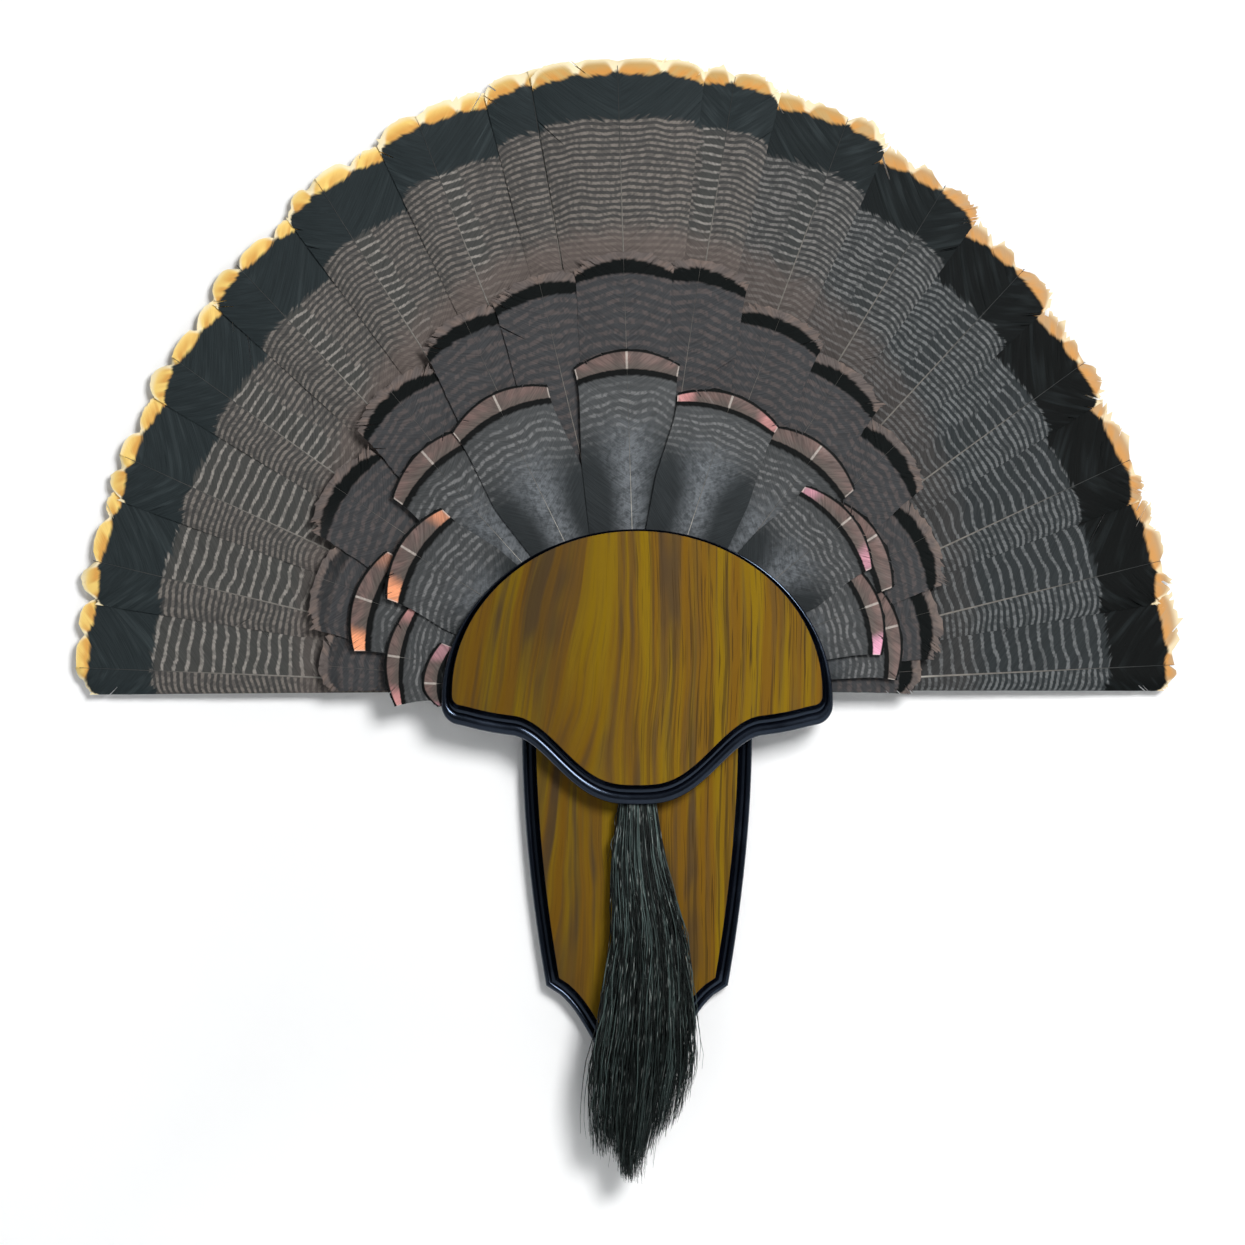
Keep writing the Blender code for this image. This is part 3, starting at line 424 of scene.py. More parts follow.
@dataclass(frozen=True)
class TailVane(Finish):
    """A tail vane: tan tip, black band, then grey-brown bars that fade to brown near the coverts."""

    patterns: FeatherPatterns = field(kw_only=True)
    tip: Colour = srgb(249, 213, 123)
    tip_deep: Colour = srgb(216, 149, 70)
    # Painted highlight colour along the tip lobes' edge.
    tip_pale: Colour = srgb(252, 238, 200)
    tip_rose: Colour = srgb(190, 156, 116)
    tip_dull: Colour = srgb(196, 162, 104)
    band: Colour = srgb(38, 45, 47)
    band_shadow: Colour = srgb(7, 10, 10)
    band_sheen: Colour = srgb(60, 68, 70)
    bar_light: Colour = srgb(142, 137, 131)
    bar_dark: Colour = srgb(68, 68, 66)
    mottle_light: Colour = srgb(119, 113, 107)
    mottle_dark: Colour = srgb(67, 66, 65)
    cool_light: Colour = srgb(134, 137, 138)
    cool_dark: Colour = srgb(60, 65, 67)
    rose_brown: Colour = srgb(104, 93, 88)
    lines: BarStyle = BarStyle(step=0.0074, fill=0.18, wave=1.3, soft=0.13, broken=0.45)
    line_reach: Ramp = (0.75, 0.95, 0.008, 0.060)
    line_wander: float = 0.010
    shaft_half: float = 0.0006
    mottles: BarStyle = BarStyle(step=0.0040, fill=0.46, wave=2.0, soft=0.22, broken=0.60)
    band_edge: RaggedEdge = RaggedEdge(0.011, 0.0014)
    tip_edge: RaggedEdge = RaggedEdge(0.0042, 0.0013)
    tip_depth: float = 0.0118
    notch_depth: float = 0.0085
    covert_side: float = 0.205
    covert_rise: float = 0.077
    fade_wander: float = 0.014
    fade_run: Pair = (0.030, 0.011)
    fade_share: Ramp = (0.1, 0.6, 0.36, 0.72)
    dusk: float = 0.42
    relief: Pair = (0.35, 0.0006)

    def surface(self, graph: Graph) -> Inputs:
        """The vane's colour and relief.

        Args:
            graph: The material's graph.

        Returns:
            What feeds the shader.
        """
        plume = Plume.read(graph, self.patterns)
        fade = self._fade(plume) * plume.tint.ramp(0.0, 1.0, 1.0, 0.55)
        colour = graph.mix(fade, self._barred(plume), self.rose_brown)
        colour = graph.shade(colour, plume.tint.ramp(0.0, 1.0, 1.0, 1.0 - self.dusk))
        colour = graph.shade(self._banded(plume, colour), plume.level)
        return {"Base Color": self._tipped(plume, colour), "Normal": graph.bump(plume.streak, *self.relief)}

    def _barred(self, plume: Plume) -> Wire:
        """The barred ground: pale lines between dark blocks inside the shaft, mottling beyond them.

        Args:
            plume: The vane's values.

        Returns:
            The colour.
        """
        mix, cool = plume.graph.mix, plume.tint.ramp(0.0, 1.0)
        past = plume.inner - plume.spacing.ramp(*self.line_reach) - plume.clump * self.line_wander
        inner = plume.inner.ramp(-self.shaft_half, self.shaft_half) * past.ramp(0.001, -0.001)
        pale, dark = mix(cool, self.bar_light, self.cool_light), mix(cool, self.bar_dark, self.cool_dark)
        lines = mix(plume.bars(self.lines, plume.spacing), dark, pale)
        pale = mix(cool, self.mottle_light, self.cool_light)
        dark = mix(cool, self.mottle_dark, self.cool_dark)
        return mix(inner, mix(plume.bars(self.mottles), dark, pale), lines)

    def _fade(self, plume: Plume) -> Wire:
        """How far the bars fade to brown next to the long coverts.

        Args:
            plume: The vane's values.

        Returns:
            The share of brown.
        """
        x, _, z = plume.graph.place()
        square = x * x + z * z
        rise = z * z / square
        away = plume.graph.math("SQRT", square) - (rise * self.covert_rise + self.covert_side)
        return (away + plume.clump * self.fade_wander).ramp(*self.fade_run) * rise.ramp(*self.fade_share)

    def _banded(self, plume: Plume, ground: Wire) -> Wire:
        """The black band below the tip, with a soft sheen along its barbs.

        Args:
            plume: The vane's values.
            ground: The colour below the band.

        Returns:
            The colour.
        """
        mix = plume.graph.mix
        sheen = plume.clump.ramp(0.50, 0.80) * plume.tint.ramp(0.0, 1.0, 0.5, 0.2)
        black = mix(plume.tint.ramp(0.0, 1.0), self.band, self.band_shadow)
        return mix(plume.band(plume.limit, self.band_edge), ground, mix(sheen, black, self.band_sheen))

    def _tipped(self, plume: Plume, ground: Wire) -> Wire:
        """The tan lobes of the tip, golden on the left and rosier on the right, with a painted cream
        highlight along their edge.

        Args:
            plume: The vane's values.
            ground: The colour below the tip.

        Returns:
            The colour.
        """
        mix = plume.graph.mix
        depth = plume.glow.ramp(0.0, 1.0, self.tip_depth * 0.8, self.tip_depth)
        x, _, _ = plume.graph.place()
        right = x.ramp(0.08, 0.22)
        warm = mix(right, mix(x.ramp(-0.16, -0.02), self.tip, self.tip_dull), self.tip_rose)
        inward = plume.distance.ramp(0.003, 0.010) * right.ramp(0.0, 1.0, 0.8, 0.7)
        deep = mix(inward * plume.clump.ramp(0.30, 0.60), warm, self.tip_deep)
        cut = plume.glow.ramp(1.0, 0.0, 0.0, self.notch_depth)
        # The rim is a painted highlight: cream along the lobes' edge, weaker on the right.
        rim = (plume.distance - cut).ramp(0.0055, 0.0005) * right.ramp(0.0, 1.0, 0.9, 0.7)
        return mix(plume.band(depth, self.tip_edge), ground, mix(rim, deep, self.tip_pale))


@dataclass(frozen=True)
class MajorVane(Finish):
    """A long covert: soft brown tip, black crescent, then slate with faint warm bars."""

    patterns: FeatherPatterns = field(kw_only=True)
    tip: Colour = srgb(98, 90, 87)
    tip_warm: Colour = srgb(118, 104, 97)
    crescent: Colour = srgb(10, 14, 14)
    ground: Colour = srgb(62, 63, 65)
    ripple: Colour = srgb(84, 78, 77)
    ripples: BarStyle = BarStyle(step=0.0064, fill=0.45, wave=1.8, soft=0.30, broken=0.75)
    tip_end: float = 0.0055
    tip_edge: RaggedEdge = RaggedEdge(0.0050, 0.0011)
    crescent_end: float = 0.0145
    crescent_edge: RaggedEdge = RaggedEdge(0.0035, 0.0009)
    faint_low: float = 0.75
    relief: Pair = (0.30, 0.0005)

    def surface(self, graph: Graph) -> Inputs:
        """The covert's colour and relief, with fainter crescents at the lower left.

        Args:
            graph: The material's graph.

        Returns:
            What feeds the shader.
        """
        plume = Plume.read(graph, self.patterns)
        x, _, z = graph.place()
        faint = x.ramp(-0.12, -0.16) * z.ramp(0.13, 0.05, 0.0, self.faint_low)
        black = plume.band(self.crescent_end, self.crescent_edge) * (1.0 - faint)
        warm = graph.mix(plume.clump.ramp(0.40, 0.70), self.tip, self.tip_warm)
        colour = graph.mix(plume.bars(self.ripples), self.ground, self.ripple)
        colour = graph.mix(black, colour, self.crescent)
        colour = graph.mix(plume.band(self.tip_end, self.tip_edge, plume.limit), colour, warm)
        relief = graph.bump(plume.streak, *self.relief)
        return {"Base Color": graph.shade(colour, plume.level), "Normal": relief}


@dataclass(frozen=True)
class CopperVane(Finish):
    """A short covert: black hair line, copper strip, black line, then grey ripples and dark down."""

    patterns: FeatherPatterns = field(kw_only=True)
    edge: Colour = srgb(9, 11, 11)
    copper: Colour = srgb(97, 84, 80)
    copper_warm: Colour = srgb(122, 100, 95)
    copper_dull: Colour = srgb(90, 84, 79)
    # Painted highlight colours of the strip: orange, and rose where the feather's tint says so.
    glow: Colour = srgb(254, 166, 108)
    glow_rose: Colour = srgb(240, 170, 200)
    # Shared by the pale shaft line and the painted highlights at the strip's edges.
    tick: Colour = srgb(206, 196, 187)
    ground: Colour = srgb(74, 76, 77)
    ripple: Colour = srgb(140, 140, 140)
    ripples: BarStyle = BarStyle(step=0.0056, fill=0.32, wave=2.6, soft=0.28, broken=0.75)
    down: Colour = srgb(44, 48, 50)
    plume_light: Colour = srgb(108, 112, 116)
    edge_end: float = 0.0019
    edge_soft: float = 0.0004
    strip_end: float = 0.0130
    strip_edge: RaggedEdge = RaggedEdge(0.0012, 0.0005)
    strip_shine: float = 0.22
    line_end: float = 0.0172
    line_edge: RaggedEdge = RaggedEdge(0.0030, 0.0009)
    ripple_run: float = 0.012
    down_start: float = 0.044
    down_run: float = 0.036
    down_wander: float = 0.020
    plume_run: float = 0.05
    plume_half: Pair = (0.032, 0.016)
    side_shade: float = 0.78
    relief: Pair = (0.30, 0.0005)

    def surface(self, graph: Graph) -> Inputs:
        """The covert's colour, relief and the shine of its strip.

        Args:
            graph: The material's graph.

        Returns:
            What feeds the shader.
        """
        plume = Plume.read(graph, self.patterns)
        inside = plume.limit.ramp(self.edge_end - self.edge_soft, self.edge_end + self.edge_soft)
        copper = plume.band(self.strip_end, self.strip_edge) * inside
        colour = graph.mix(plume.band(self.line_end, self.line_edge), self._rippled(plume), self.edge)
        colour = graph.mix(copper, colour, self._strip(plume))
        return {
            "Base Color": graph.shade(colour, plume.level),
            "Roughness": self.roughness - copper * self.strip_shine,
            "Normal": graph.bump(plume.streak, *self.relief),
        }

    def _strip(self, plume: Plume) -> Wire:
        """The copper strip with painted highlights where it would catch the light, a pale shaft line and
        painted highlights at its edges.

        Args:
            plume: The vane's values.

        Returns:
            The colour.
        """
        graph = plume.graph
        plain = graph.mix(plume.clump.ramp(0.35, 0.70), self.copper, self.copper_warm)
        plain = graph.mix(plume.distance.ramp(0.006, 0.012, 0.0, 0.75), plain, self.copper_dull)
        # Painted highlights on the strip, where the feather's glow share and the clumps allow.
        strip_glint = graph.math("MULTIPLY", plume.glow, plume.clump.ramp(0.20, 0.55, 0.6, 1.0), clamp=True)
        lit = graph.mix(strip_glint, plain, graph.mix(plume.tint, self.glow, self.glow_rose))
        # The pale line over the shaft is real; the pale ticks at the vane's edges are painted highlights.
        shaft = abs(plume.across).ramp(0.0010, 0.0004)
        shaft_line_and_edge_glint = graph.math("MAXIMUM", shaft, plume.out.ramp(0.955, 0.985)) * 0.60
        return graph.mix(shaft_line_and_edge_glint, lit, self.tick)

    def _rippled(self, plume: Plume) -> Wire:
        """Grey ripples that fade into dark down with a paler plume along the shaft; the down's dark at the
        vane's edges is partly painted shade between feathers.

        Args:
            plume: The vane's values.

        Returns:
            The colour.
        """
        graph, tip = plume.graph, plume.distance
        x, y, z = graph.place()
        near = tip.ramp(self.line_end, self.line_end + self.ripple_run, 0.15, 1.0)
        near = near * abs(x).ramp(0.03, 0.12, 0.50, 0.78)
        rippled = graph.mix(plume.bars(self.ripples) * near, self.ground, self.ripple)
        half = tip.ramp(self.down_start, self.down_start + self.plume_run, *self.plume_half)
        middle = (abs(plume.across) / half).ramp(1.0, 0.0)
        fluff = graph.noise(graph.point(x, y, z), scale=330.0, detail=3.0, rough=0.65)
        # Dark down at the vane's edges, paler along the shaft: partly the down's own colour, partly painted
        # shade between neighbouring feathers.
        down = graph.mix(middle * fluff.ramp(0.30, 0.66, 0.35, 1.15), self.down, self.plume_light)
        deep = (tip + plume.clump * self.down_wander).ramp(self.down_start, self.down_start + self.down_run)
        return graph.shade(graph.mix(deep, rippled, down), abs(x).ramp(0.04, 0.12, 1.0, self.side_shade))


@dataclass(frozen=True)
class Shaft(Finish):
    """A feather's shaft, from dark horn to white quill as its mesh says."""

    dark: Colour = srgb(42, 45, 45)
    dull: Colour = srgb(126, 121, 114)
    white: Colour = srgb(232, 228, 218)

    def surface(self, graph: Graph) -> Inputs:
        """The shaft's colour.

        Args:
            graph: The material's graph.

        Returns:
            What feeds the shader.
        """
        (_, _, barb), (_, seed, _), (_, _, pale) = (
            graph.attribute("plume_" + name) for name in ("lay", "kind", "tone")
        )
        grain = graph.noise(graph.point(barb * 260.0, seed, 0.0))
        horn = graph.mix(pale.ramp(0.0, 0.5), self.dark, self.dull)
        horn = graph.mix(pale.ramp(0.5, 1.0), horn, self.white)
        return {"Base Color": graph.shade(horn, grain.ramp(0.3, 0.7, 0.80, 1.10))}


class Streaks(NamedTuple):
    """Noise drawn out along the grain: streaks to the metre across and along it, and its layers."""

    fine: float
    short: float
    detail: float


class WoodPrint:
    """The node group of the printed wood grain, with a leaning heart and fine dark pores."""

    gold: Colour = srgb(129, 101, 6)
    amber: Colour = srgb(116, 82, 14)
    mauve: Colour = srgb(76, 59, 38)
    pore: Colour = srgb(60, 41, 13)
    hue: Streaks = Streaks(95.0, 3.0, 2.0)
    broad: Streaks = Streaks(78.0, 3.6, 3.0)
    patch: Streaks = Streaks(34.0, 12.0, 2.0)
    middle: Streaks = Streaks(200.0, 6.0, 2.0)
    narrow: Streaks = Streaks(560.0, 7.0, 3.0)
    dashes: Streaks = Streaks(900.0, 20.0, 1.0)
    lean: float = 0.20

    def __init__(self) -> None:
        """Builds the group."""
        names = ("Offset", "Heart Across", "Heart Along")
        graph, self.given, end = new_group("wood_print", names, ("Colour", "Grain", "Pores"), ("Colour",))
        self.graph, self.tree = graph, graph.tree
        x, _, z = graph.place()
        across = self._warped(x, z)
        kinds = (self.hue, self.broad, self.patch, self.middle, self.narrow, self.dashes)
        hue, broad, patch, middle, narrow, dashes = (self._drawn(across, z, kind) for kind in kinds)
        right = x.ramp(-0.03, 0.05, 0.25, 1.0)
        shady = broad + x.ramp(-0.02, 0.06, 0.035, -0.05)
        pores = dashes.ramp(0.60, 0.68) * (right * 0.68)
        colour = graph.mix(hue.ramp(0.38, 0.60), self.gold, self.amber)
        for share, stain in (
            (shady.ramp(0.49, 0.64) * patch.ramp(0.40, 0.58, 0.35, 0.90), self.mauve),
            (middle.ramp(0.50, 0.68) * 0.45, self.mauve),
            (narrow.ramp(0.53, 0.62) * (right * 0.62), self.pore),
            (pores, self.pore),
        ):
            colour = graph.mix(share, colour, stain)
        colour = graph.shade(colour, x.ramp(-0.08, 0.03, 0.77, 1.08) * z.ramp(-0.10, -0.24, 1.0, 0.88))
        graph.feed(end, {"Colour": colour, "Grain": narrow, "Pores": pores})

    def _drawn(self, x: Wire, z: Wire, kind: Streaks) -> Wire:
        """Noise drawn out along the grain, from places across and along it."""
        spot = self.graph.point(x * kind.fine, (z + self.given["Offset"]) * kind.short, kind.fine * 0.01)
        return self.graph.noise(spot, detail=kind.detail, rough=0.55)

    def _warped(self, x: Wire, z: Wire) -> Wire:
        """Place across the grain, with lines that sway and lean out on one side of a heart line.

        Args:
            x: Place across the board.
            z: Place up the board.

        Returns:
            The place across the grain.
        """
        sway = self.graph.noise(self.graph.point(x * 10.0, z * 7.0, self.given["Offset"]))
        side = (x - self.given["Heart Across"]).ramp(0.025, -0.030)
        drop = (self.given["Heart Along"] - z) * self.lean
        return x + sway * x.ramp(-0.01, 0.05, 0.017, 0.011) + drop * side


@dataclass(frozen=True)
class WoodGrain(Finish):
    """Printed wood grain that runs up the board."""

    grain: WoodPrint = field(kw_only=True)
    heart: Pair = (-0.030, 0.085)
    offset: float = 0.0

    def surface(self, graph: Graph) -> Inputs:
        """The print's colour, gloss and pores.

        Args:
            graph: The material's graph.

        Returns:
            What feeds the shader.
        """
        inputs = {"Offset": self.offset, "Heart Across": self.heart[0], "Heart Along": self.heart[1]}
        wood = graph.call(self.grain.tree, inputs)
        return {
            "Base Color": wood["Colour"],
            "Roughness": wood["Grain"].ramp(0.3, 0.7, self.roughness - 0.05, self.roughness + 0.08),
            "Normal": graph.bump(1.0 - wood["Pores"], 0.12, 0.0003),
        }


@dataclass(frozen=True)
class Lacquer(Finish):
    """Gloss black lacquer with a blue cast and a breath of dust."""

    colour: Colour = srgb(4, 5, 10)
    dust: Colour = srgb(16, 19, 28)
    sheen: Colour = srgb(196, 220, 255)

    def surface(self, graph: Graph) -> Inputs:
        """The lacquer's colour, cast and gloss.

        Args:
            graph: The material's graph.

        Returns:
            What feeds the shader.
        """
        spot = graph.point(*graph.place())
        cloud = graph.noise(spot, scale=38.0, detail=3.0)
        speck = graph.noise(spot, scale=900.0, detail=1.0)
        share = cloud.ramp(0.45, 0.75) * 0.35 + speck.ramp(0.72, 0.80, 0.0, 0.3)
        return {
            "Specular Tint": self.sheen,
            "Base Color": graph.mix(share, self.colour, self.dust),
            "Roughness": cloud.ramp(0.35, 0.70, self.roughness, self.roughness + 0.10),
        }


@dataclass(frozen=True)
class Bristle(Finish):
    """Coarse black bristle with grey strands, more of them near the root as a painted highlight on the
    beard's upper part, and painted pale glints, mostly near the root.
    """

    dark: Colour = srgb(10, 17, 16)
    grey: Colour = srgb(87, 104, 101)
    # Pale grey of the painted glints on the bristles.
    worn: Colour = srgb(166, 174, 170)

    def surface(self, graph: Graph) -> Inputs:
        """The bristle's colour.

        Args:
            graph: The material's graph.

        Returns:
            What feeds the shader.
        """
        chance, down, _ = graph.attribute("strand")
        patch = graph.noise(graph.point(chance * 90.0, down * 22.0, 0.3))
        # Grey strands vary at random; their share rising towards the root is a painted highlight on the
        # beard's upper part.
        grey = chance.ramp(0.40, 1.0) * down.ramp(1.0, 0.2, 0.45, 1.0)
        # Painted glints in patches, strongest near the root.
        bristle_glint = patch.ramp(0.58, 0.74) * down.ramp(0.95, 0.35, 0.15, 0.75)
        return {"Base Color": graph.mix(bristle_glint, graph.mix(grey, self.dark, self.grey), self.worn)}


def clouded_grain() -> Tree:
    """The node group of a clouded, finely grained surface.

    Returns:
        The group.
    """
    graph, given, end = new_group("clouded_grain", ("Cloud Scale", "Grain Scale"), ("Share", "Grain"))
    spot = graph.point(*graph.place())
    cloud = graph.noise(spot, scale=given["Cloud Scale"], detail=4.0)
    grain = graph.noise(spot, scale=given["Grain Scale"])
    share = cloud.ramp(0.35, 0.70, 0.0, 0.7) + grain.ramp(0.55, 0.80, 0.0, 0.3)
    graph.feed(end, {"Share": share, "Grain": grain})
    return graph.tree


@dataclass(frozen=True)
class Mottled(Finish):
    """A matt or metal surface of two tones, clouded and finely grained."""

    grain: Tree = field(kw_only=True)
    tone: Colour = srgb(110, 88, 66)
    shade: Colour = srgb(70, 52, 38)
    cloud_scale: float = 60.0
    grain_scale: float = 700.0
    relief: float = 0.0004

    def surface(self, graph: Graph) -> Inputs:
        """The surface's two tones, gloss and relief.

        Args:
            graph: The material's graph.

        Returns:
            What feeds the shader.
        """
        inputs = {"Cloud Scale": self.cloud_scale, "Grain Scale": self.grain_scale}
        clouds = graph.call(self.grain, inputs)
        return {
            "Base Color": graph.mix(clouds["Share"], self.tone, self.shade),
            "Roughness": clouds["Grain"].ramp(0.3, 0.7, self.roughness - 0.06, self.roughness + 0.08),
            "Normal": graph.bump(clouds["Grain"], 0.25, self.relief),
        }


def deselect() -> None:
    """Leaves nothing selected, in object mode."""
    if bpy.context.object and bpy.context.object.mode != "OBJECT":
        bpy.ops.object.mode_set(mode="OBJECT")
    bpy.ops.object.select_all(action="DESELECT")


def activate(*pieces: Piece) -> None:
    """Selects pieces and makes the first one active.

    Args:
        *pieces: The pieces.
    """
    deselect()
    for piece in pieces:
        piece.select_set(True)
    bpy.context.view_layer.objects.active = pieces[0]


def edit_all(piece: Piece, *steps: Callable[[], object]) -> None:
    """Runs edit-mode operators on all of a piece.

    Args:
        piece: The piece.
        *steps: The operators.
    """
    activate(piece)
    bpy.ops.object.mode_set(mode="EDIT")
    bpy.ops.mesh.select_all(action="SELECT")
    for step in steps:
        step()
    bpy.ops.object.mode_set(mode="OBJECT")


def merge_doubles() -> None:
    """Joins selected points that lie in one place, in edit mode."""
    bpy.ops.mesh.remove_doubles(threshold=MERGE_GAP)


def finish_mesh(piece: Piece, angle_deg: float = 40.0) -> None:
    """Merges doubles, turns faces outwards and smooths what meets at a low angle."""
    edit_all(piece, merge_doubles, lambda: bpy.ops.mesh.normals_make_consistent(inside=False))
    bpy.ops.object.shade_smooth_by_angle(angle=math.radians(angle_deg))


def apply_modifier(piece: Piece, kind: str, **settings) -> None:
    """Adds a modifier to a piece and applies it.

    Args:
        piece: The piece.
        kind: Blender's type of the modifier.
        **settings: The modifier's properties.
    """
    modifier = piece.modifiers.new(kind.lower(), kind)
    for name, value in settings.items():
        setattr(modifier, name, value)
    activate(piece)
    bpy.ops.object.modifier_apply(modifier=modifier.name)


def points_of(mesh: bpy.types.Mesh) -> Array:
    """The places of a mesh's points, by point and axis."""
    return np.array([point.co for point in mesh.vertices], np.float32)


def move_points(mesh: bpy.types.Mesh, places: Array) -> None:
    """Moves a mesh's points to places given by point and axis."""
    mesh.vertices.foreach_set("co", np.ascontiguousarray(places, np.float32).ravel())
    mesh.update()


def set_vectors(mesh: bpy.types.Mesh, name: str, values: Array) -> None:
    """Stores one vector per point in a mesh."""
    layer = mesh.attributes.new(name, "FLOAT_VECTOR", "POINT")
    layer.data.foreach_set("vector", np.ascontiguousarray(values, np.float32).ravel())


@dataclass
class Sheet:
    """A grid primitive whose points are laid out by row and column."""

    name: str
    columns: int
    rows: int

    def __post_init__(self) -> None:
        """Adds the grid and reads which row and column each point has."""
        deselect()
        bpy.ops.mesh.primitive_grid_add(x_subdivisions=self.columns, y_subdivisions=self.rows, size=2)
        self.piece = bpy.context.object
        self.piece.name = self.piece.data.name = self.name
        across, up, _ = points_of(self.piece.data).T
        self.column = np.rint((across + 1) / 2 * self.columns).astype(int)
        self.row = np.rint((up + 1) / 2 * self.rows).astype(int)

    def lay(self, points: Array) -> None:
        """Moves every point to its place, given by row, column and axis."""
        move_points(self.piece.data, points[self.row, self.column])

    def store(self, name: str, *parts: Array | float) -> None:
        """Stores a vector at every point.

        Args:
            name: The attribute's name.
            *parts: Its three values, each by row and column or the same for some of them.
        """
        grid = np.zeros((self.rows + 1, self.columns + 1))
        values = np.stack([part + grid for part in parts], axis=-1)
        set_vectors(self.piece.data, name, values[self.row, self.column])

    def open_slits(self, holes: Array) -> None:
        """Deletes faces.

        Args:
            holes: Whether each face goes, by row and column.
        """
        mesh = self.piece.data
        corners = np.empty(len(mesh.loops), np.int32)
        mesh.loops.foreach_get("vertex_index", corners)
        corners = corners.reshape(-1, 4)
        doomed = holes[self.row[corners].min(axis=1), self.column[corners].min(axis=1)]
        activate(self.piece)
        bpy.ops.object.mode_set(mode="EDIT")
        bpy.ops.mesh.select_mode(type="FACE")
        bpy.ops.mesh.select_all(action="DESELECT")
        bpy.ops.object.mode_set(mode="OBJECT")
        mesh.polygons.foreach_set("select", doomed)
        bpy.ops.object.mode_set(mode="EDIT")
        bpy.ops.mesh.delete(type="FACE")
        bpy.ops.object.mode_set(mode="OBJECT")


@dataclass(frozen=True)
class FeatherLine:
    """Where a feather's solid lies: its line, its edges and its height above the wall."""

    name: str
    direction: Array
    quill: Array
    along: Array
    left: Array
    right: Array
    height: Array
    tilt: Array

    @classmethod
    def read(cls, node: Piece) -> FeatherLine:
        """Reads a feather's line from its solid.

        Args:
            node: The feather's solid.

        Returns:
            The feather's line.
        """
        points = points_of(node.data).astype(float)
        flat = points[:, [0, 2]]
        radius = np.hypot(*flat.T)
        inner = flat[radius < radius.min() + QUILL_REACH].mean(axis=0)
        direction = inner / np.hypot(*inner)
        along = flat @ direction
        across = flat @ np.array((direction[1], -direction[0]))
        order = np.argsort(along)
        rows = []
        for group in np.split(order, np.nonzero(np.diff(along[order]) > SECTION_GAP)[0] + 1):
            x, high = across[group], -points[group, 1]
            left, right = x.min(), x.max()
            ends = [high[np.abs(x - end) < EDGE_REACH].mean() for end in (left, right)]
            tilt = (ends[1] - ends[0]) / (right - left)
            rows.append((along[group].mean(), left, right, ends[0] - tilt * left, tilt))
        table = np.array(rows)
        return cls(node.name, direction, table[:2], *table[2:].T)

    @property
    def reach(self) -> float:
        """Distance of the tip from the fan's centre."""
        return float(self.along[-1])

    @property
    def shoulder(self) -> float:
        """Distance at which the edges turn in to the tip."""
        return float(self.along[-3])

    @property
    def angle(self) -> float:
        """Direction in radians, anticlockwise from the right."""
        return math.atan2(self.direction[1], self.direction[0])

    def world(self, across: Array, along: Array, lift: Array) -> Array:
        """Places of points on the feather.

        Args:
            across: Distance to the right of the shaft, seen from the root.
            along: Distance from the fan's centre.
            lift: Height above the feather's own plane.

        Returns:
            Points in the frame, with one more axis than across.
        """
        plane, tilt = (np.interp(along, self.along, values) for values in (self.height, self.tilt))
        east, north = self.direction
        height = plane + tilt * across + lift
        return np.stack((along * east + across * north, -height, along * north - across * east), axis=-1)


@dataclass(frozen=True)
class VaneStyle:
    """How the barbs of a row of feathers run, how worn they are and how pale their shaft is."""

    columns: int = 12
    crowd: float = 0.9
    row_step: float = 0.0034
    tip_step: float = 0.0014
    root_run: float = 0.03
    sweep: float = 0.85
    bow: float = 0.07
    tip_power: float = 0.75
    tip_onset: float = 6.0
    crown: float = 0.0
    flare: float = 0.0
    flare_run: float = 0.022
    shaft_stop: float = 0.010
    arc: float | None = None
    lobe: float = 0.0085
    lobe_width: float = 0.029
    lobe_power: float = 3.0
    lobe_drop: float = 0.0030
    fringe: float = 0.0003
    fringe_range: Pair = (-0.6, 1.0)
    fringe_gaps: float = 0.10
    fringe_gap: float = 2.2
    notch_spread: float = 0.26
    notch_start: float = 0.86
    notch: Pair = (0.15, 0.50)
    slits: int = 2
    slit_depth: Pair = (0.25, 0.60)
    tip_slits: int = 8
    tip_slit_depth: Pair = (0.12, 0.38)
    tip_clear: float = 0.008
    slit_open: float = 0.0009
    slit_gap: float = 0.0002
    open_range: Pair = (0.5, 1.4)
    ragged: float = 0.050
    ragged_range: Pair = (-1.0, 0.35)
    fray: float = 0.022
    fray_range: Pair = (-1.0, 0.4)
    least_wear: float = 0.12
    spikes: float = 0.06
    spike: float = 0.07
    relief: float = 0.00022
    relief_waves: Pair = (95.0, 310.0)
    relief_fine: float = 0.6
    relief_shift: float = 2.1
    relief_power: float = 1.5
    droop: float = 0.0022
    droop_start: float = 0.30
    thickness: float = 0.00024
    quill: float = 0.0044
    quill_run: float = 0.02
    shaft_back: float = 0.0018
    shaft_ridge: float = 0.0004
    shaft_taper: float = 0.78
    ridge_taper: float = 0.6
    shaft_narrow: float = 0.50
    ridge_narrow: float = 0.30
    shaft_short: float = 0.6
    shaft_pale: tuple[Pair, ...] = (
        (0.0, 0.0), (0.05, 0.1), (0.08, 0.3), (0.14, 0.4), (0.18, 0.8), (0.2, 1.0),
    )


class Slit(NamedTuple):
    """A slit between two barbs: its row, its side, how deep it goes and how far it opens."""

    row: int
    side: int
    depth: float
    opening: float


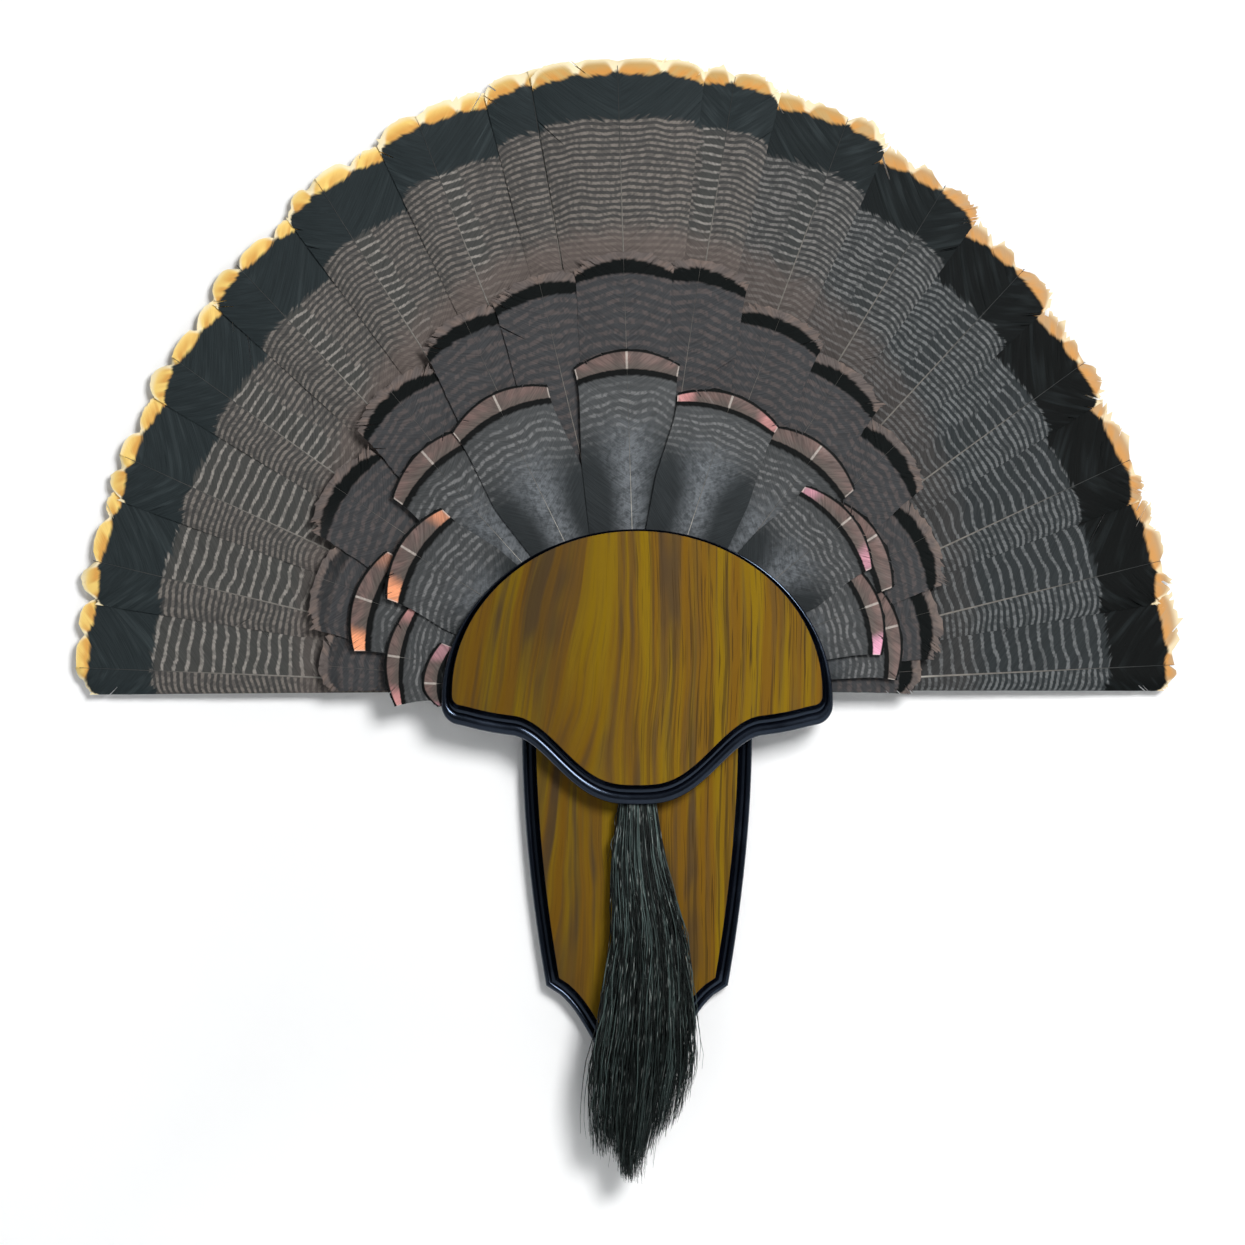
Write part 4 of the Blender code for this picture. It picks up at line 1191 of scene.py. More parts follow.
@dataclass
class FeatherPiece:
    """One feather: a barbed vane on a tapering shaft, laid on the feather's solid."""

    line: FeatherLine
    style: VaneStyle
    seed: int
    band: float = 0.0
    inner_side: int = 1
    tint: float = 0.0
    # Shares of painted highlight towards a covert's outer and inner edge, where they start and how fast they
    # rise.
    glow: Pair = (0.0, 0.0)
    glow_run: float = 0.2
    outer_glow: float = 0.52
    inner_glow: float = 0.62
    lobed: float = 1.0
    drooped: float = 1.0
    tight: float = 1.0
    spacing: float = 1.0
    edge_points: int = 60
    shaft_sides: int = 8
    shaft_rows: int = 28

    def __post_init__(self) -> None:
        """Seeds the feather's own wear and spaces the notches of its tip."""
        self.random = np.random.default_rng(self.seed)
        self.pattern_seed = (self.seed * 0.37) % 10
        left, right = self.line.left[-3], self.line.right[-3]
        count = max(2, round((right - left) / self.style.lobe_width))
        shift = self.random.uniform(-self.style.notch_spread, self.style.notch_spread, count + 1)
        self.notches = left + (right - left) * (np.arange(count + 1) + shift) / count
        self.drops = self.random.uniform(0, self.style.lobe_drop, count + 1)

    def build(self, vane: Material, shaft: Material) -> Piece:
        """Builds the feather.

        Args:
            vane: Finish of the vane.
            shaft: Finish of the shaft.

        Returns:
            The finished piece.
        """
        leaf = self._vane()
        leaf.data.materials.append(vane)
        rod = self._shaft()
        rod.data.materials.append(shaft)
        activate(leaf, rod)
        bpy.ops.object.join()
        leaf.name = self.line.name + "_plume"
        return leaf

    def _bases(self) -> tuple[Array, list[Slit]]:
        """Where the rows of barbs leave the shaft, and the slits between them.

        Returns:
            Distances of the rows, and the slits.
        """
        style, line = self.style, self.line
        start, stop = line.along[0], line.reach - style.shaft_stop
        fine = line.shoulder - style.sweep * max(line.right[-3], -line.left[-3])
        cuts = []
        for low, high, count, depths in (
            (start + style.root_run, fine, style.slits, style.slit_depth),
            (fine, stop - style.tip_clear, style.tip_slits, style.tip_slit_depth),
        ):
            for _ in range(count):
                spot = self.random.uniform(low, high)
                side = int(self.random.choice((-1, 1)))
                depth = self.random.uniform(*depths)
                cuts.append((spot, side, depth, style.slit_open * self.random.uniform(*style.open_range)))
        spots = np.array([cut[0] for cut in cuts])
        lower = np.arange(start, fine, style.row_step)
        upper = np.arange(fine, stop - style.tip_step / 2, style.tip_step)
        rows = np.sort(np.concatenate((lower, upper, [stop], spots, spots + style.slit_gap)))
        return rows, [Slit(int(np.searchsorted(rows, spot)), *rest) for spot, *rest in cuts]

    def _width(self, along: Array, side: int) -> Array:
        """Half width of the vane on one side, flared towards the tip's corner.

        Args:
            along: Distance from the fan's centre.
            side: -1 for the left, 1 for the right.

        Returns:
            The half width at each distance.
        """
        line, style = self.line, self.style
        widths = np.abs(line.right if side > 0 else line.left)
        near = np.clip(1 - (line.shoulder - along) / style.flare_run, 0, 1)
        return np.interp(along, line.along[:-2], widths[:-2]) * (1 + style.flare * near**2)

    def _barb_ends(self, base: Array, side: int) -> tuple[Array, Array, Array]:
        """Where the barbs of one side end.

        Args:
            base: Where they leave the shaft.
            side: -1 for the left, 1 for the right.

        Returns:
            Distance across, distance along and share of the way round the tip.
        """
        line, style = self.line, self.style
        edge = np.linspace(line.along[0], line.shoulder, self.edge_points)
        grown = np.clip((edge - line.along[0]) / style.root_run, 0, 1)
        origin = edge - style.sweep * self._width(edge, side) * grown
        along = np.interp(base, origin, edge)
        turn = np.clip((base - origin[-1]) / (base[-1] - origin[-1]), 0, 1)
        arc = turn * math.pi / 2
        share = np.cos(arc) ** style.tip_power
        rise = style.crown * (1 - share**2) + (1 - style.crown) * np.sin(arc) ** style.tip_power
        across = np.where(turn > 0, self._width(line.shoulder, side) * share, self._width(along, side))
        along = np.where(turn > 0, line.shoulder + (line.reach - line.shoulder) * rise, along)
        return side * across, along, turn

    def _tip_height(self, across: Array) -> Array:
        """How far the unworn tip reaches.

        Args:
            across: Distance to the right of the shaft.

        Returns:
            The tip's distance from the fan's centre there.
        """
        line, crown = self.line, self.style.crown
        power = 2 / self.style.tip_power
        corners = [self._width(line.shoulder, side) for side in (-1, 1)]
        share = np.clip(np.abs(across) / np.where(across > 0, corners[1], corners[0]), 0, 1)
        rise = crown * (1 - share**2) + (1 - crown) * (1 - share**power) ** (1 / power)
        return line.shoulder + (line.reach - line.shoulder) * rise

    def _wear(self, turn: Array, slits: Sequence[Slit], side: int) -> Array:
        """How much longer or shorter each barb of one side is than the unworn outline.

        Args:
            turn: Share of the way round the tip at each barb.
            slits: The slits.
            side: -1 for the left, 1 for the right.

        Returns:
            A share of the barb's length.
        """
        style, count = self.style, len(turn)
        bounds = sorted(slit.row for slit in slits if slit.side == side)
        clump = np.searchsorted(bounds, np.arange(count), side="left")
        steps = self.random.uniform(*style.ragged_range, len(bounds) + 1) * style.ragged
        wear = steps[clump] + self.random.uniform(*style.fray_range, count) * style.fray
        wear += style.spike * (self.random.uniform(0, 1, count) < style.spikes)
        dent = np.clip((turn - style.notch_start) / (1 - style.notch_start), 0, 1) ** 2
        notch = dent * self.random.uniform(*style.notch)
        return wear * np.clip(turn * style.tip_onset, style.least_wear, 1) - notch

    def _lobe_place(self, across: Array) -> Array:
        """Place among the tip's lobes, with a whole number in every notch."""
        return np.interp(across, self.notches, np.arange(len(self.notches)))

    def _lobe(self, across: Array) -> Array:
        """How full the tip's lobes are at a distance across: 0 in a notch, 1 in mid-lobe."""
        return 1 - np.abs(2 * (self._lobe_place(across) % 1) - 1) ** self.style.lobe_power

    def _worn_tip(self, across: Array) -> Array:
        """How much lower than the unworn tip the barbs end: notches, uneven lobes and a frayed fringe.

        Args:
            across: Where they end, to the right of the shaft.

        Returns:
            The drop at each barb.
        """
        style, full, count = self.style, self._lobe(across), len(across)
        low = style.lobe * (1 - full) + self.drops[self._lobe_place(across).astype(int)] * full
        hair = self.random.uniform(*style.fringe_range, count)
        hair = hair - style.fringe_gap * (self.random.uniform(0, 1, count) < style.fringe_gaps)
        return (low if style.lobe else 0.0) * self.lobed + style.fringe * hair

    def _barbs(self, base: Array, slits: Sequence[Slit], share: Array) -> tuple[Array, Array]:
        """Points along every barb, from the left edge over the shaft to the right edge.

        Args:
            base: Where the barbs leave the shaft.
            slits: The slits.
            share: Shares of a barb's length.

        Returns:
            Distance across and distance along, by barb and point.
        """
        style, u, halves = self.style, share[None, :], {}
        for side in (-1, 1):
            across, along, turn = self._barb_ends(base, side)
            wear = 1 + self._wear(turn, slits, side)
            across, along = across * wear, base + (along - base) * wear
            along = along - self._worn_tip(across) * np.clip(turn * style.tip_onset, 0, 1)
            bend = (base + along) / 2 - style.bow * np.hypot(across, along - base)
            x = u**2 * across[:, None] + u * (1 - u) * across[:, None]
            y = (1 - u) ** 2 * base[:, None] + 2 * u * (1 - u) * bend[:, None] + u**2 * along[:, None]
            halves[side] = x, y
        for row, side, depth, opening in slits:
            spread = opening / 2 * np.clip((share - (1 - depth)) / depth, 0, 1)
            halves[side][1][row] -= spread
            halves[side][1][min(row + 1, len(base) - 1)] += spread
        return tuple(np.concatenate((halves[-1][i][:, :0:-1], halves[1][i]), axis=1) for i in (0, 1))

    def _vane(self) -> Piece:
        """The vane: rows of barbs from the shaft to a worn edge.

        Returns:
            A thin closed leaf.
        """
        style = self.style
        base, slits = self._bases()
        share = np.linspace(0, 1, style.columns + 1) ** style.crowd
        x, y = self._barbs(base, slits, share)
        out = np.concatenate((share[:0:-1], share))
        slow, fast = style.relief_waves
        ripple = np.sin(base * slow + self.seed)
        ripple = ripple + style.relief_fine * np.sin(base * fast + style.relief_shift * self.seed)
        lift = style.relief * ripple[:, None] * out[None, :] ** style.relief_power - self._droop(x, y, out)
        last = len(base) - 1
        sheet = Sheet(self.line.name + "_vane", 2 * style.columns, last)
        sheet.lay(self.line.world(x, y, lift))
        self._store(sheet, x, y, base, out)
        holes = np.zeros((last, 2 * style.columns), bool)
        for slit in slits:
            first = math.ceil((1 - slit.depth) * style.columns)
            ends = (style.columns + first, None) if slit.side > 0 else (0, style.columns - first)
            holes[min(slit.row, last - 1), slice(*ends)] = True
        sheet.open_slits(holes)
        edit_all(sheet.piece, merge_doubles)
        apply_modifier(sheet.piece, "SOLIDIFY", thickness=style.thickness, offset=0.0)
        finish_mesh(sheet.piece)
        return sheet.piece

    def _droop(self, x: Array, y: Array, out: Array) -> Array:
        """How far the vane sinks towards the feather under its free edge.

        Args:
            x: Distance across.
            y: Distance along.
            out: Share of the way from the shaft to the edge.

        Returns:
            The drop at every point.
        """
        style, line = self.style, self.line
        free = x * self.inner_side <= 0
        bend = np.clip((out[None, :] - style.droop_start) / (1 - style.droop_start), 0, 1) ** 2
        grown = np.clip((y - line.along[0]) / (line.reach - line.along[0]), 0, 1)
        return style.droop * self.drooped * free * bend * (0.5 + 0.5 * grown)

    def _store(self, sheet: Sheet, x: Array, y: Array, base: Array, out: Array) -> None:
        """Stores what the finish reads at every point of the vane.

        Args:
            sheet: The vane.
            x: Distance across.
            y: Distance along.
            base: Where the barbs leave the shaft.
            out: Share of the way from the shaft to the edge.
        """
        line, arc = self.line, self.style.arc
        half_width = sum(self._width(line.shoulder, side) for side in (-1, 1)) / 2
        distance, band, glow = self._tip_height(x) - y, self.band, self._lobe(x)
        if arc is not None:
            band, distance = distance, (line.reach - arc * (x / half_width) ** 2 - y) * self.tight
            inward = x * self.inner_side / half_width
            # On a covert the glow is the painted highlight towards its outer and inner edges.
            outer = self.glow[0] * np.clip((-inward - self.outer_glow) / self.glow_run, 0, 1)
            glow = outer + self.glow[1] * np.clip((inward - self.inner_glow) / self.glow_run, 0, 1)
        sheet.store("plume_lay", x, distance, base[:, None])
        sheet.store("plume_kind", out[None, :], self.pattern_seed, band)
        sheet.store("plume_tone", x * self.inner_side if self.inner_side else -1.0, self.tint, glow)
        sheet.store("plume_bars", self.spacing, 0.0, 0.0)

    def _shaft(self) -> Piece:
        """The quill and the shaft that it becomes, narrow in front and keeled behind.

        Returns:
            A closed rod.
        """
        line, style = self.line, self.style
        root, neck = line.quill[:, 0]
        along = np.linspace(root, line.reach - style.shaft_stop * style.shaft_short, self.shaft_rows + 1)
        share = np.clip((along - neck) / (line.reach - neck), 0, 1)[:, None]
        blend = np.clip((along - neck) / style.quill_run, 0, 1)[:, None]
        half = style.quill / 2 * (1 - style.shaft_taper * share)
        ridge = style.shaft_ridge * (1 - style.ridge_taper * share) + style.thickness / 2
        front = half * (1 - blend) + ridge * blend
        back = half * (1 - blend) + style.shaft_back * (1 - style.shaft_taper * share) * blend
        turns = np.linspace(0, math.tau, self.shaft_sides + 1)
        cosine, sine = np.cos(turns)[None, :], np.sin(turns)[None, :]
        narrow = 1 - blend * (style.shaft_narrow + style.ridge_narrow * np.clip(sine, 0, 1))
        across = half * cosine * narrow
        spread = along[:, None] * np.ones_like(across)
        flat = line.world(np.zeros_like(across), spread, np.where(sine > 0, front, back) * sine)
        sheet = Sheet(line.name + "_shaft", self.shaft_sides, self.shaft_rows)
        sheet.lay(flat + across[..., None] * np.array((line.direction[1], 0.0, -line.direction[0])))
        sheet.store("plume_lay", across, line.reach - spread, spread)
        sheet.store("plume_kind", 0.0, self.pattern_seed, 0.0)
        sheet.store("plume_tone", 0.0, 0.0, np.interp(line.reach - spread, *np.array(style.shaft_pale).T))
        edit_all(sheet.piece, merge_doubles, lambda: bpy.ops.mesh.fill_holes(sides=0))
        finish_mesh(sheet.piece)
        return sheet.piece


class Plumage(Enum):
    """The rows of the fan, from the wall outwards."""

    TAIL = "tail_feather"
    MAJOR = "major_covert"
    MIDDLE = "middle_covert"
    LESSER = "lesser_covert"
    SHORT = "short_covert"


@dataclass
class Fan:
    """The spread fan: tail feathers and the rows of coverts over their roots."""

    nodes: dict[str, Piece]
    patterns: FeatherPatterns
    crown_deg: float = 91.8
    crown_spread_deg: float = 0.5
    crown_droop: float = 1.5
    band_left: float = 0.053
    band_right: float = 0.048
    band_crown: float = 0.040
    band_power: int = 6
    tail_left: VaneStyle = VaneStyle(fray=0.006, spikes=0.01, tip_slits=3, ragged=0.015, notch=(0.0, 0.10))
    tail_right: VaneStyle = VaneStyle(
        fray=0.030, spikes=0.12, lobe=0.0070, lobe_width=0.030, lobe_drop=0.0042, notch_spread=0.30,
        fringe=0.0014,
    )
    upper_closer: float = 0.25
    closer_rise: float = 0.4
    least_lobed: float = 0.25
    lobed_deg: float = 40.0
    dusk_rate: float = 1.2
    trimmed: dict[str, float] = field(default_factory=lambda: {"tail_feather_10": 0.60})
    major: VaneStyle = VaneStyle(
        columns=10, row_step=0.0032, tip_step=0.0016, sweep=0.75, tip_power=0.8, crown=0.7, flare=0.04,
        arc=0.0060, lobe=0.0, droop=0.0008, shaft_stop=0.006, notch=(0.0, 0.15), slits=1, tip_slits=8,
        tip_slit_depth=(0.15, 0.45), ragged=0.060, fray=0.050, spikes=0.20, spike=0.10, relief=0.00015,
        quill=0.0024, shaft_back=0.0005, shaft_ridge=0.00025,
        shaft_pale=((0.0, 0.30), (0.02, 0.15), (0.05, 0.30), (0.08, 0.45)),
    )
    copper: VaneStyle = VaneStyle(
        columns=10, row_step=0.0032, tip_step=0.0018, sweep=0.75, tip_power=0.9, crown=0.95, flare=0.10,
        arc=0.0068, lobe=0.0, droop=0.0008, shaft_stop=0.006, notch=(0.0, 0.10), slits=0, tip_slits=4,
        tip_slit_depth=(0.10, 0.30), slit_open=0.0006, ragged=0.012, fray=0.008, spikes=0.0,
        relief=0.00015, quill=0.0017, shaft_back=0.0005, shaft_ridge=0.00025,
        shaft_pale=((0.0, 0.05), (0.003, 0.72), (0.012, 0.72), (0.014, 0.2), (0.05, 0.25), (0.085, 0.72)),
    )
    tightened: dict[str, float] = field(default_factory=lambda: {
        "lesser_covert_01": 1.35, "short_covert": 1.35, "middle_covert_07": 1.25,
        "lesser_covert_03": 1.30, "lesser_covert_04": 1.30, "lesser_covert_05": 1.20,
    })
    # Painted highlight on a covert's strip: share at its outer edge, at its inner edge, and its tint from
    # orange to rose.
    glowing: dict[str, tuple[float, float, float]] = field(default_factory=lambda: {
        "middle_covert_01": (1.0, 0.25, 0.10),
        "lesser_covert_02": (1.0, 0.55, 0.10),
        "lesser_covert_01": (0.55, 0.35, 0.55),
        "short_covert": (0.60, 0.30, 0.80),
        "lesser_covert_03": (0.45, 0.60, 0.55),
        "lesser_covert_04": (0.60, 0.55, 0.85),
        "lesser_covert_05": (1.0, 0.20, 0.95),
    })

    def build(self) -> None:
        """Builds and dresses every feather."""
        shared = {"patterns": self.patterns}
        shaft = Shaft("feather_shaft", roughness=0.42).build()
        copper = CopperVane("covert_copper_strip", 0.60, specular=0.10, **shared).build()
        finishes = {row: copper for row in Plumage} | {
            Plumage.TAIL: TailVane("tail_vane_barred", 0.66, specular=0.10, **shared).build(),
            Plumage.MAJOR: MajorVane("major_covert_brown", 0.66, specular=0.08, **shared).build(),
        }
        slots = {row: row.value.replace("_feather", "") + "_vane" for row in Plumage}
        slots[Plumage.SHORT] = slots[Plumage.LESSER]
        for seed, name in enumerate(sorted(self.nodes), start=1):
            row = next((kind for kind in Plumage if name.startswith(kind.value)), None)
            if row is None:
                continue
            piece = self._feather(name, row, seed).build(finishes[row], shaft)
            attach(piece, PLAQUE_BODY)
            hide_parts(name)
            log.info("feather %s: %d faces", piece.name, len(piece.data.polygons))

    def _feather(self, name: str, row: Plumage, seed: int) -> FeatherPiece:
        """Works out one feather's own values.

        Args:
            name: Its node.
            row: Its row.
            seed: Its place in the list, which seeds its wear.

        Returns:
            The feather, ready to build.
        """
        line = FeatherLine.read(self.nodes[name])
        line = replace(line, right=line.right * self.trimmed.get(name, 1.0))
        away = (math.degrees(line.angle) - self.crown_deg + 180) % 360 - 180
        left, crown = away > -self.crown_spread_deg, abs(away) < self.crown_spread_deg
        styles = {Plumage.TAIL: self.tail_left if left else self.tail_right, Plumage.MAJOR: self.major}
        side_band = self.band_left if left else self.band_right
        outer, inner, tint = self.glowing.get(name, (0.0, 0.0, 0.0))
        dusk = float(np.clip(line.direction[0] * self.dusk_rate, 0, 1))
        return FeatherPiece(
            line=line,
            style=styles.get(row, self.copper),
            seed=seed,
            band=side_band + (self.band_crown - side_band) * math.sin(line.angle) ** self.band_power,
            inner_side=0 if crown else 1 if left else -1,
            tint=dusk if row is Plumage.TAIL else tint,
            glow=(outer, inner),
            lobed=float(np.clip(abs(away) / self.lobed_deg, self.least_lobed, 1)),
            drooped=self.crown_droop if crown else 1.0,
            tight=self.tightened.get(name, 1.0),
            spacing=1 - self.upper_closer * min(1.0, line.direction[1] ** 2 / self.closer_rise),
        )


def outlined_face(name: str, outline: Outline, height: float) -> Piece:
    """A flat face inside an outline, left selected in edit mode.

    Args:
        name: The piece's name.
        outline: The face's corners.
        height: Its height above the wall.

    Returns:
        The piece.
    """
    deselect()
    bpy.ops.mesh.primitive_circle_add(vertices=len(outline), radius=1, fill_type="NGON")
    face = bpy.context.object
    face.name = name
    move_points(face.data, np.array([(x, -height, z) for x, z in reversed(outline)]))
    bpy.ops.object.mode_set(mode="EDIT")
    bpy.ops.mesh.select_mode(type="FACE")
    bpy.ops.mesh.select_all(action="SELECT")
    return face


def draw_out(height: float) -> None:
    """Extrudes the selected faces away from the wall, in edit mode."""
    bpy.ops.mesh.extrude_region_move(TRANSFORM_OT_translate={"value": (0, -height, 0)})


def draw_in(width: float) -> None:
    """Insets the selected faces evenly, in edit mode."""
    bpy.ops.mesh.inset(thickness=width, depth=0.0, use_even_offset=True)


@dataclass
class MouldedBoard:
    """A board with a moulded edge, drawn up from a flat outline by insets."""

    name: str
    outline: Outline
    back: float
    face: float
    rim: float
    lean: float = 0.0
    depth: float = 0.0095
    step_up: float = 0.0012
    bead: float = 0.0021
    bead_turn_deg: float = 150.0
    groove: float = 0.0004
    steps: int = 8

    def profile(self) -> Outline:
        """The moulding from the outer wall to the face, as (inset, height) steps.

        Returns:
            A short wall, a round bead, a fine groove and a cove that rises to the face.
        """
        points = [(0.0, self.step_up)]
        for turn in np.linspace(0, math.radians(self.bead_turn_deg), self.steps + 1)[1:]:
            points.append((self.bead * (1 - math.cos(turn)), self.step_up + self.bead * math.sin(turn)))
        start = points[-1][0] + self.groove
        points.append((start, self.step_up))
        for turn in np.linspace(0, math.pi / 2, self.steps + 1)[1:]:
            rise = (self.depth - self.step_up) * (1 - math.cos(turn))
            points.append((start + (self.rim - start) * math.sin(turn), self.step_up + rise))
        return points

    def build(self) -> Piece:
        """Builds the board.

        Returns:
            The board as a closed mesh.
        """
        board = outlined_face(self.name, self.outline, self.back)
        draw_out(self.face - self.depth - self.back)
        inset, rise = 0.0, 0.0
        for next_inset, next_rise in self.profile():
            step_in, step_up = next_inset - inset, next_rise - rise
            draw_in(max(step_in, MERGE_GAP))
            bpy.ops.transform.translate(value=(0, -step_up, self.lean * step_in / self.rim))
            inset, rise = next_inset, next_rise
        bpy.ops.object.mode_set(mode="OBJECT")
        finish_mesh(board, BOARD_SMOOTH_DEG)
        return board


def carve(piece: Piece) -> None:
    """Cuts the object that was added last out of a piece.

    Args:
        piece: The piece.
    """
    cutter = bpy.context.object
    apply_modifier(piece, "BOOLEAN", operation="DIFFERENCE", object=cutter)
    bpy.data.objects.remove(cutter)


def cut_box(piece: Piece, low: Sequence[float], high: Sequence[float]) -> None:
    """Cuts a box out of a piece.

    Args:
        piece: The piece.
        low: The box's low corner.
        high: Its high corner.
    """
    deselect()
    middle = [(a + b) / 2 for a, b in zip(low, high)]
    bpy.ops.mesh.primitive_cube_add(size=1, location=middle, scale=[b - a for a, b in zip(low, high)])
    carve(piece)


def cut_bore(piece: Piece, place: Vector, radius: float, depth: float, sides: int = 24) -> None:
    """Bores a round hole into a piece's back.

    Args:
        piece: The piece.
        place: A point on the hole's axis.
        radius: Its radius.
        depth: Its depth from the wall.
        sides: Sides of the bore.
    """
    deselect()
    bpy.ops.mesh.primitive_cylinder_add(
        vertices=sides, radius=radius, depth=2 * depth,
        location=(place.x, 0, place.z), rotation=(math.pi / 2, 0, 0),
    )
    carve(piece)


def mirrored(right: Outline) -> Outline:
    """A closed outline from its right half, which runs down from the top centre to the foot."""
    return right + [(-x, z) for x, z in reversed(right[1:-1])]


@dataclass
class Plaque:
    """The lower board, the cap over the fan's root and their wood-grain sheets."""

    straight_z: float = -0.031
    foot_z: float = -0.190
    foot_half: float = 0.0585
    foot_ogee: float = 0.08
    foot_facet: float = 0.15
    waist_power: float = 1.8
    arch_rise: float = 0.045
    board_rim: float = 0.009
    spring_z: float = -0.0065
    corner: float = 0.013
    corner_turn_deg: float = 75.0
    side_drop: float = 0.0025
    chin_rise: float = 0.042
    chin_half: float = 0.080
    chin_fullness: float = 1.4
    cap_rim: float = 0.00685
    cap_lean: float = 0.00565
    hollow_z: float = -0.013
    slot_half: float = 0.0205
    slot_front: float = 0.0299
    slot_top: float = -0.0272
    sheet: float = 0.0007
    sheet_wall: float = 0.7
    sheet_edge: float = 0.4
    fit: float = 0.0003
    hanger_margin: float = 0.003
    head_radius: float = 0.0044
    head_depth: float = 0.0011
    shank_radius: float = 0.0024
    bore_over: float = 0.01
    arch_steps: int = 18
    waist_steps: int = 16
    foot_steps: int = 14
    dome_steps: int = 44
    corner_steps: int = 9
    chin_steps: int = 40

    def __post_init__(self) -> None:
        """Reads the boards' sizes from their solids."""
        self.board_low, self.board_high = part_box("beard_board")
        self.cap_low, self.cap_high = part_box("fan_cap")
        self.base_low, self.base_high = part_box("fan_base")

    def build(self) -> None:
        """Builds both boards with their sheets."""
        lacquer = Lacquer("gloss_black_lacquer", roughness=0.17, specular=0.70).build()
        wood = {"roughness": 0.38, "specular": 0.12, "grain": WoodPrint()}
        grain = WoodGrain("board_wood_print", offset=0.31, heart=(-0.05, -0.10), **wood).build()
        cap_grain = WoodGrain("cap_wood_print", **wood).build()
        dressed = (
            (self._board(), "beard_board", lacquer, "black_lacquer"),
            (self._cap(), "fan_cap", lacquer, "black_lacquer"),
            (self._board_sheet(), "beard_board_veneer", grain, "board_wood_grain"),
            (self._cap_sheet(), "fan_cap_veneer", cap_grain, "cap_wood_grain"),
        )
        for piece, node, finish, slot in dressed:
            piece.data.materials.clear()
            piece.data.materials.append(finish)
            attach(piece, PLAQUE_BODY)
            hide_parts(node)
            log.info("board piece %s: %d faces", piece.name, len(piece.data.polygons))

    def board_outline(self) -> Outline:
        """Arched top, straight sides that draw in below, and an ogee foot with long end facets.

        Returns:
            The closed outline.
        """
        half, top, tip = self.board_high.x, self.board_high.z, self.board_low.z
        right = []
        for turn in np.linspace(0, math.pi / 2, self.arch_steps + 1):
            right.append((half * math.sin(turn), top - self.arch_rise * (1 - math.cos(turn))))
        for share in np.linspace(0, 1, self.waist_steps + 1):
            draw = (half - self.foot_half) * share**self.waist_power
            right.append((half - draw, self.straight_z + (self.foot_z - self.straight_z) * share))
        for share in (*np.linspace(self.foot_facet, 1 - self.foot_facet, self.foot_steps), 1.0):
            fall = share - self.foot_ogee * math.sin(2 * math.pi * share)
            right.append((self.foot_half * (1 - share), self.foot_z + (tip - self.foot_z) * fall))
        return mirrored(right)

    def chin_z(self, x: float) -> float:
        """Height of the cap's lower edge.

        Args:
            x: Distance from the middle.

        Returns:
            The height there.
        """
        corner_z = self.spring_z - self.side_drop - self.corner
        chin = self.cap_low.z
        share = min(x / self.chin_half, 1) ** self.chin_fullness
        dip = self.chin_rise * (1 - math.cos(math.pi * share)) / 2
        return chin + dip + (corner_z - chin - self.chin_rise) * (x / (self.cap_high.x - self.corner)) ** 4

    def cap_outline(self) -> Outline:
        """Half-oval dome, round corners and a chin in the middle of the lower edge.

        Returns:
            The closed outline.
        """
        half, dome = self.cap_high.x, self.cap_high.z - self.spring_z
        right = []
        for turn in np.linspace(0, math.pi / 2, self.dome_steps + 1):
            right.append((half * math.sin(turn), self.spring_z + dome * math.cos(turn)))
        corner_x, corner_z = half - self.corner, self.spring_z - self.side_drop
        for turn in np.linspace(0, math.radians(self.corner_turn_deg), self.corner_steps + 1):
            right.append((corner_x + self.corner * math.cos(turn), corner_z - self.corner * math.sin(turn)))
        for x in np.linspace(corner_x, 0, self.chin_steps + 1)[1:]:
            right.append((x, self.chin_z(x)))
        return mirrored(right)

    def _board(self) -> Piece:
        """The lower board with its rebate, hanger pocket and screw holes.

        Returns:
            The board.
        """
        thick, fit, margin = -self.board_low.y, self.fit, self.hanger_margin
        board = MouldedBoard("beard_board_moulded", self.board_outline(), 0.0, thick, self.board_rim).build()
        cut_box(board, (-FAR, -FAR, self.base_low.z - fit), (FAR, self.base_high.y + fit, FAR))
        low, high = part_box("wall_hanger")
        cut_box(board, (low.x - margin, low.y - fit, low.z - margin), (high.x + margin, FAR, high.z + margin))
        for name in ("cap_screw_01", "cap_screw_02", "cap_screw_03"):
            low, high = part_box(name)
            cut_bore(board, (low + high) / 2, self.shank_radius, thick + self.bore_over)
            cut_bore(board, (low + high) / 2, self.head_radius, self.head_depth)
        return board

    def _cap(self) -> Piece:
        """The cap, hollowed over the fan and slotted for the beard.

        Returns:
            The cap.
        """
        back, face = -self.cap_high.y, -self.cap_low.y
        cap = MouldedBoard(
            "fan_cap_moulded", self.cap_outline(), back, face, self.cap_rim, self.cap_lean
        ).build()
        cut_box(cap, (-FAR, self.base_low.y - self.fit, self.hollow_z), (FAR, FAR, FAR))
        cut_box(cap, (-self.slot_half, -self.slot_front, -FAR), (self.slot_half, FAR, self.slot_top))
        finish_mesh(cap, BOARD_SMOOTH_DEG)
        return cap

    def _sheet_from(self, name: str, outline: Outline, rim: float, lean: float, face: float) -> Piece:
        """A thin sheet inside a board's rim.

        Args:
            name: The sheet's name.
            outline: The board's outline.
            rim: Width of the board's rim.
            lean: How far the face is moved up over the outline.
            face: Height of the board's face above the wall.

        Returns:
            The sheet, with a soft front edge.
        """
        sheet = outlined_face(name, outline, face + self.fit)
        draw_in(rim + self.fit)
        bpy.ops.mesh.select_all(action="INVERT")
        bpy.ops.mesh.delete(type="FACE")
        bpy.ops.mesh.select_all(action="SELECT")
        bpy.ops.transform.translate(value=(0, 0, lean))
        draw_out(self.sheet * self.sheet_wall)
        draw_in(self.sheet * self.sheet_edge)
        bpy.ops.transform.translate(value=(0, -self.sheet * (1 - self.sheet_wall), 0))
        bpy.ops.object.mode_set(mode="OBJECT")
        return sheet

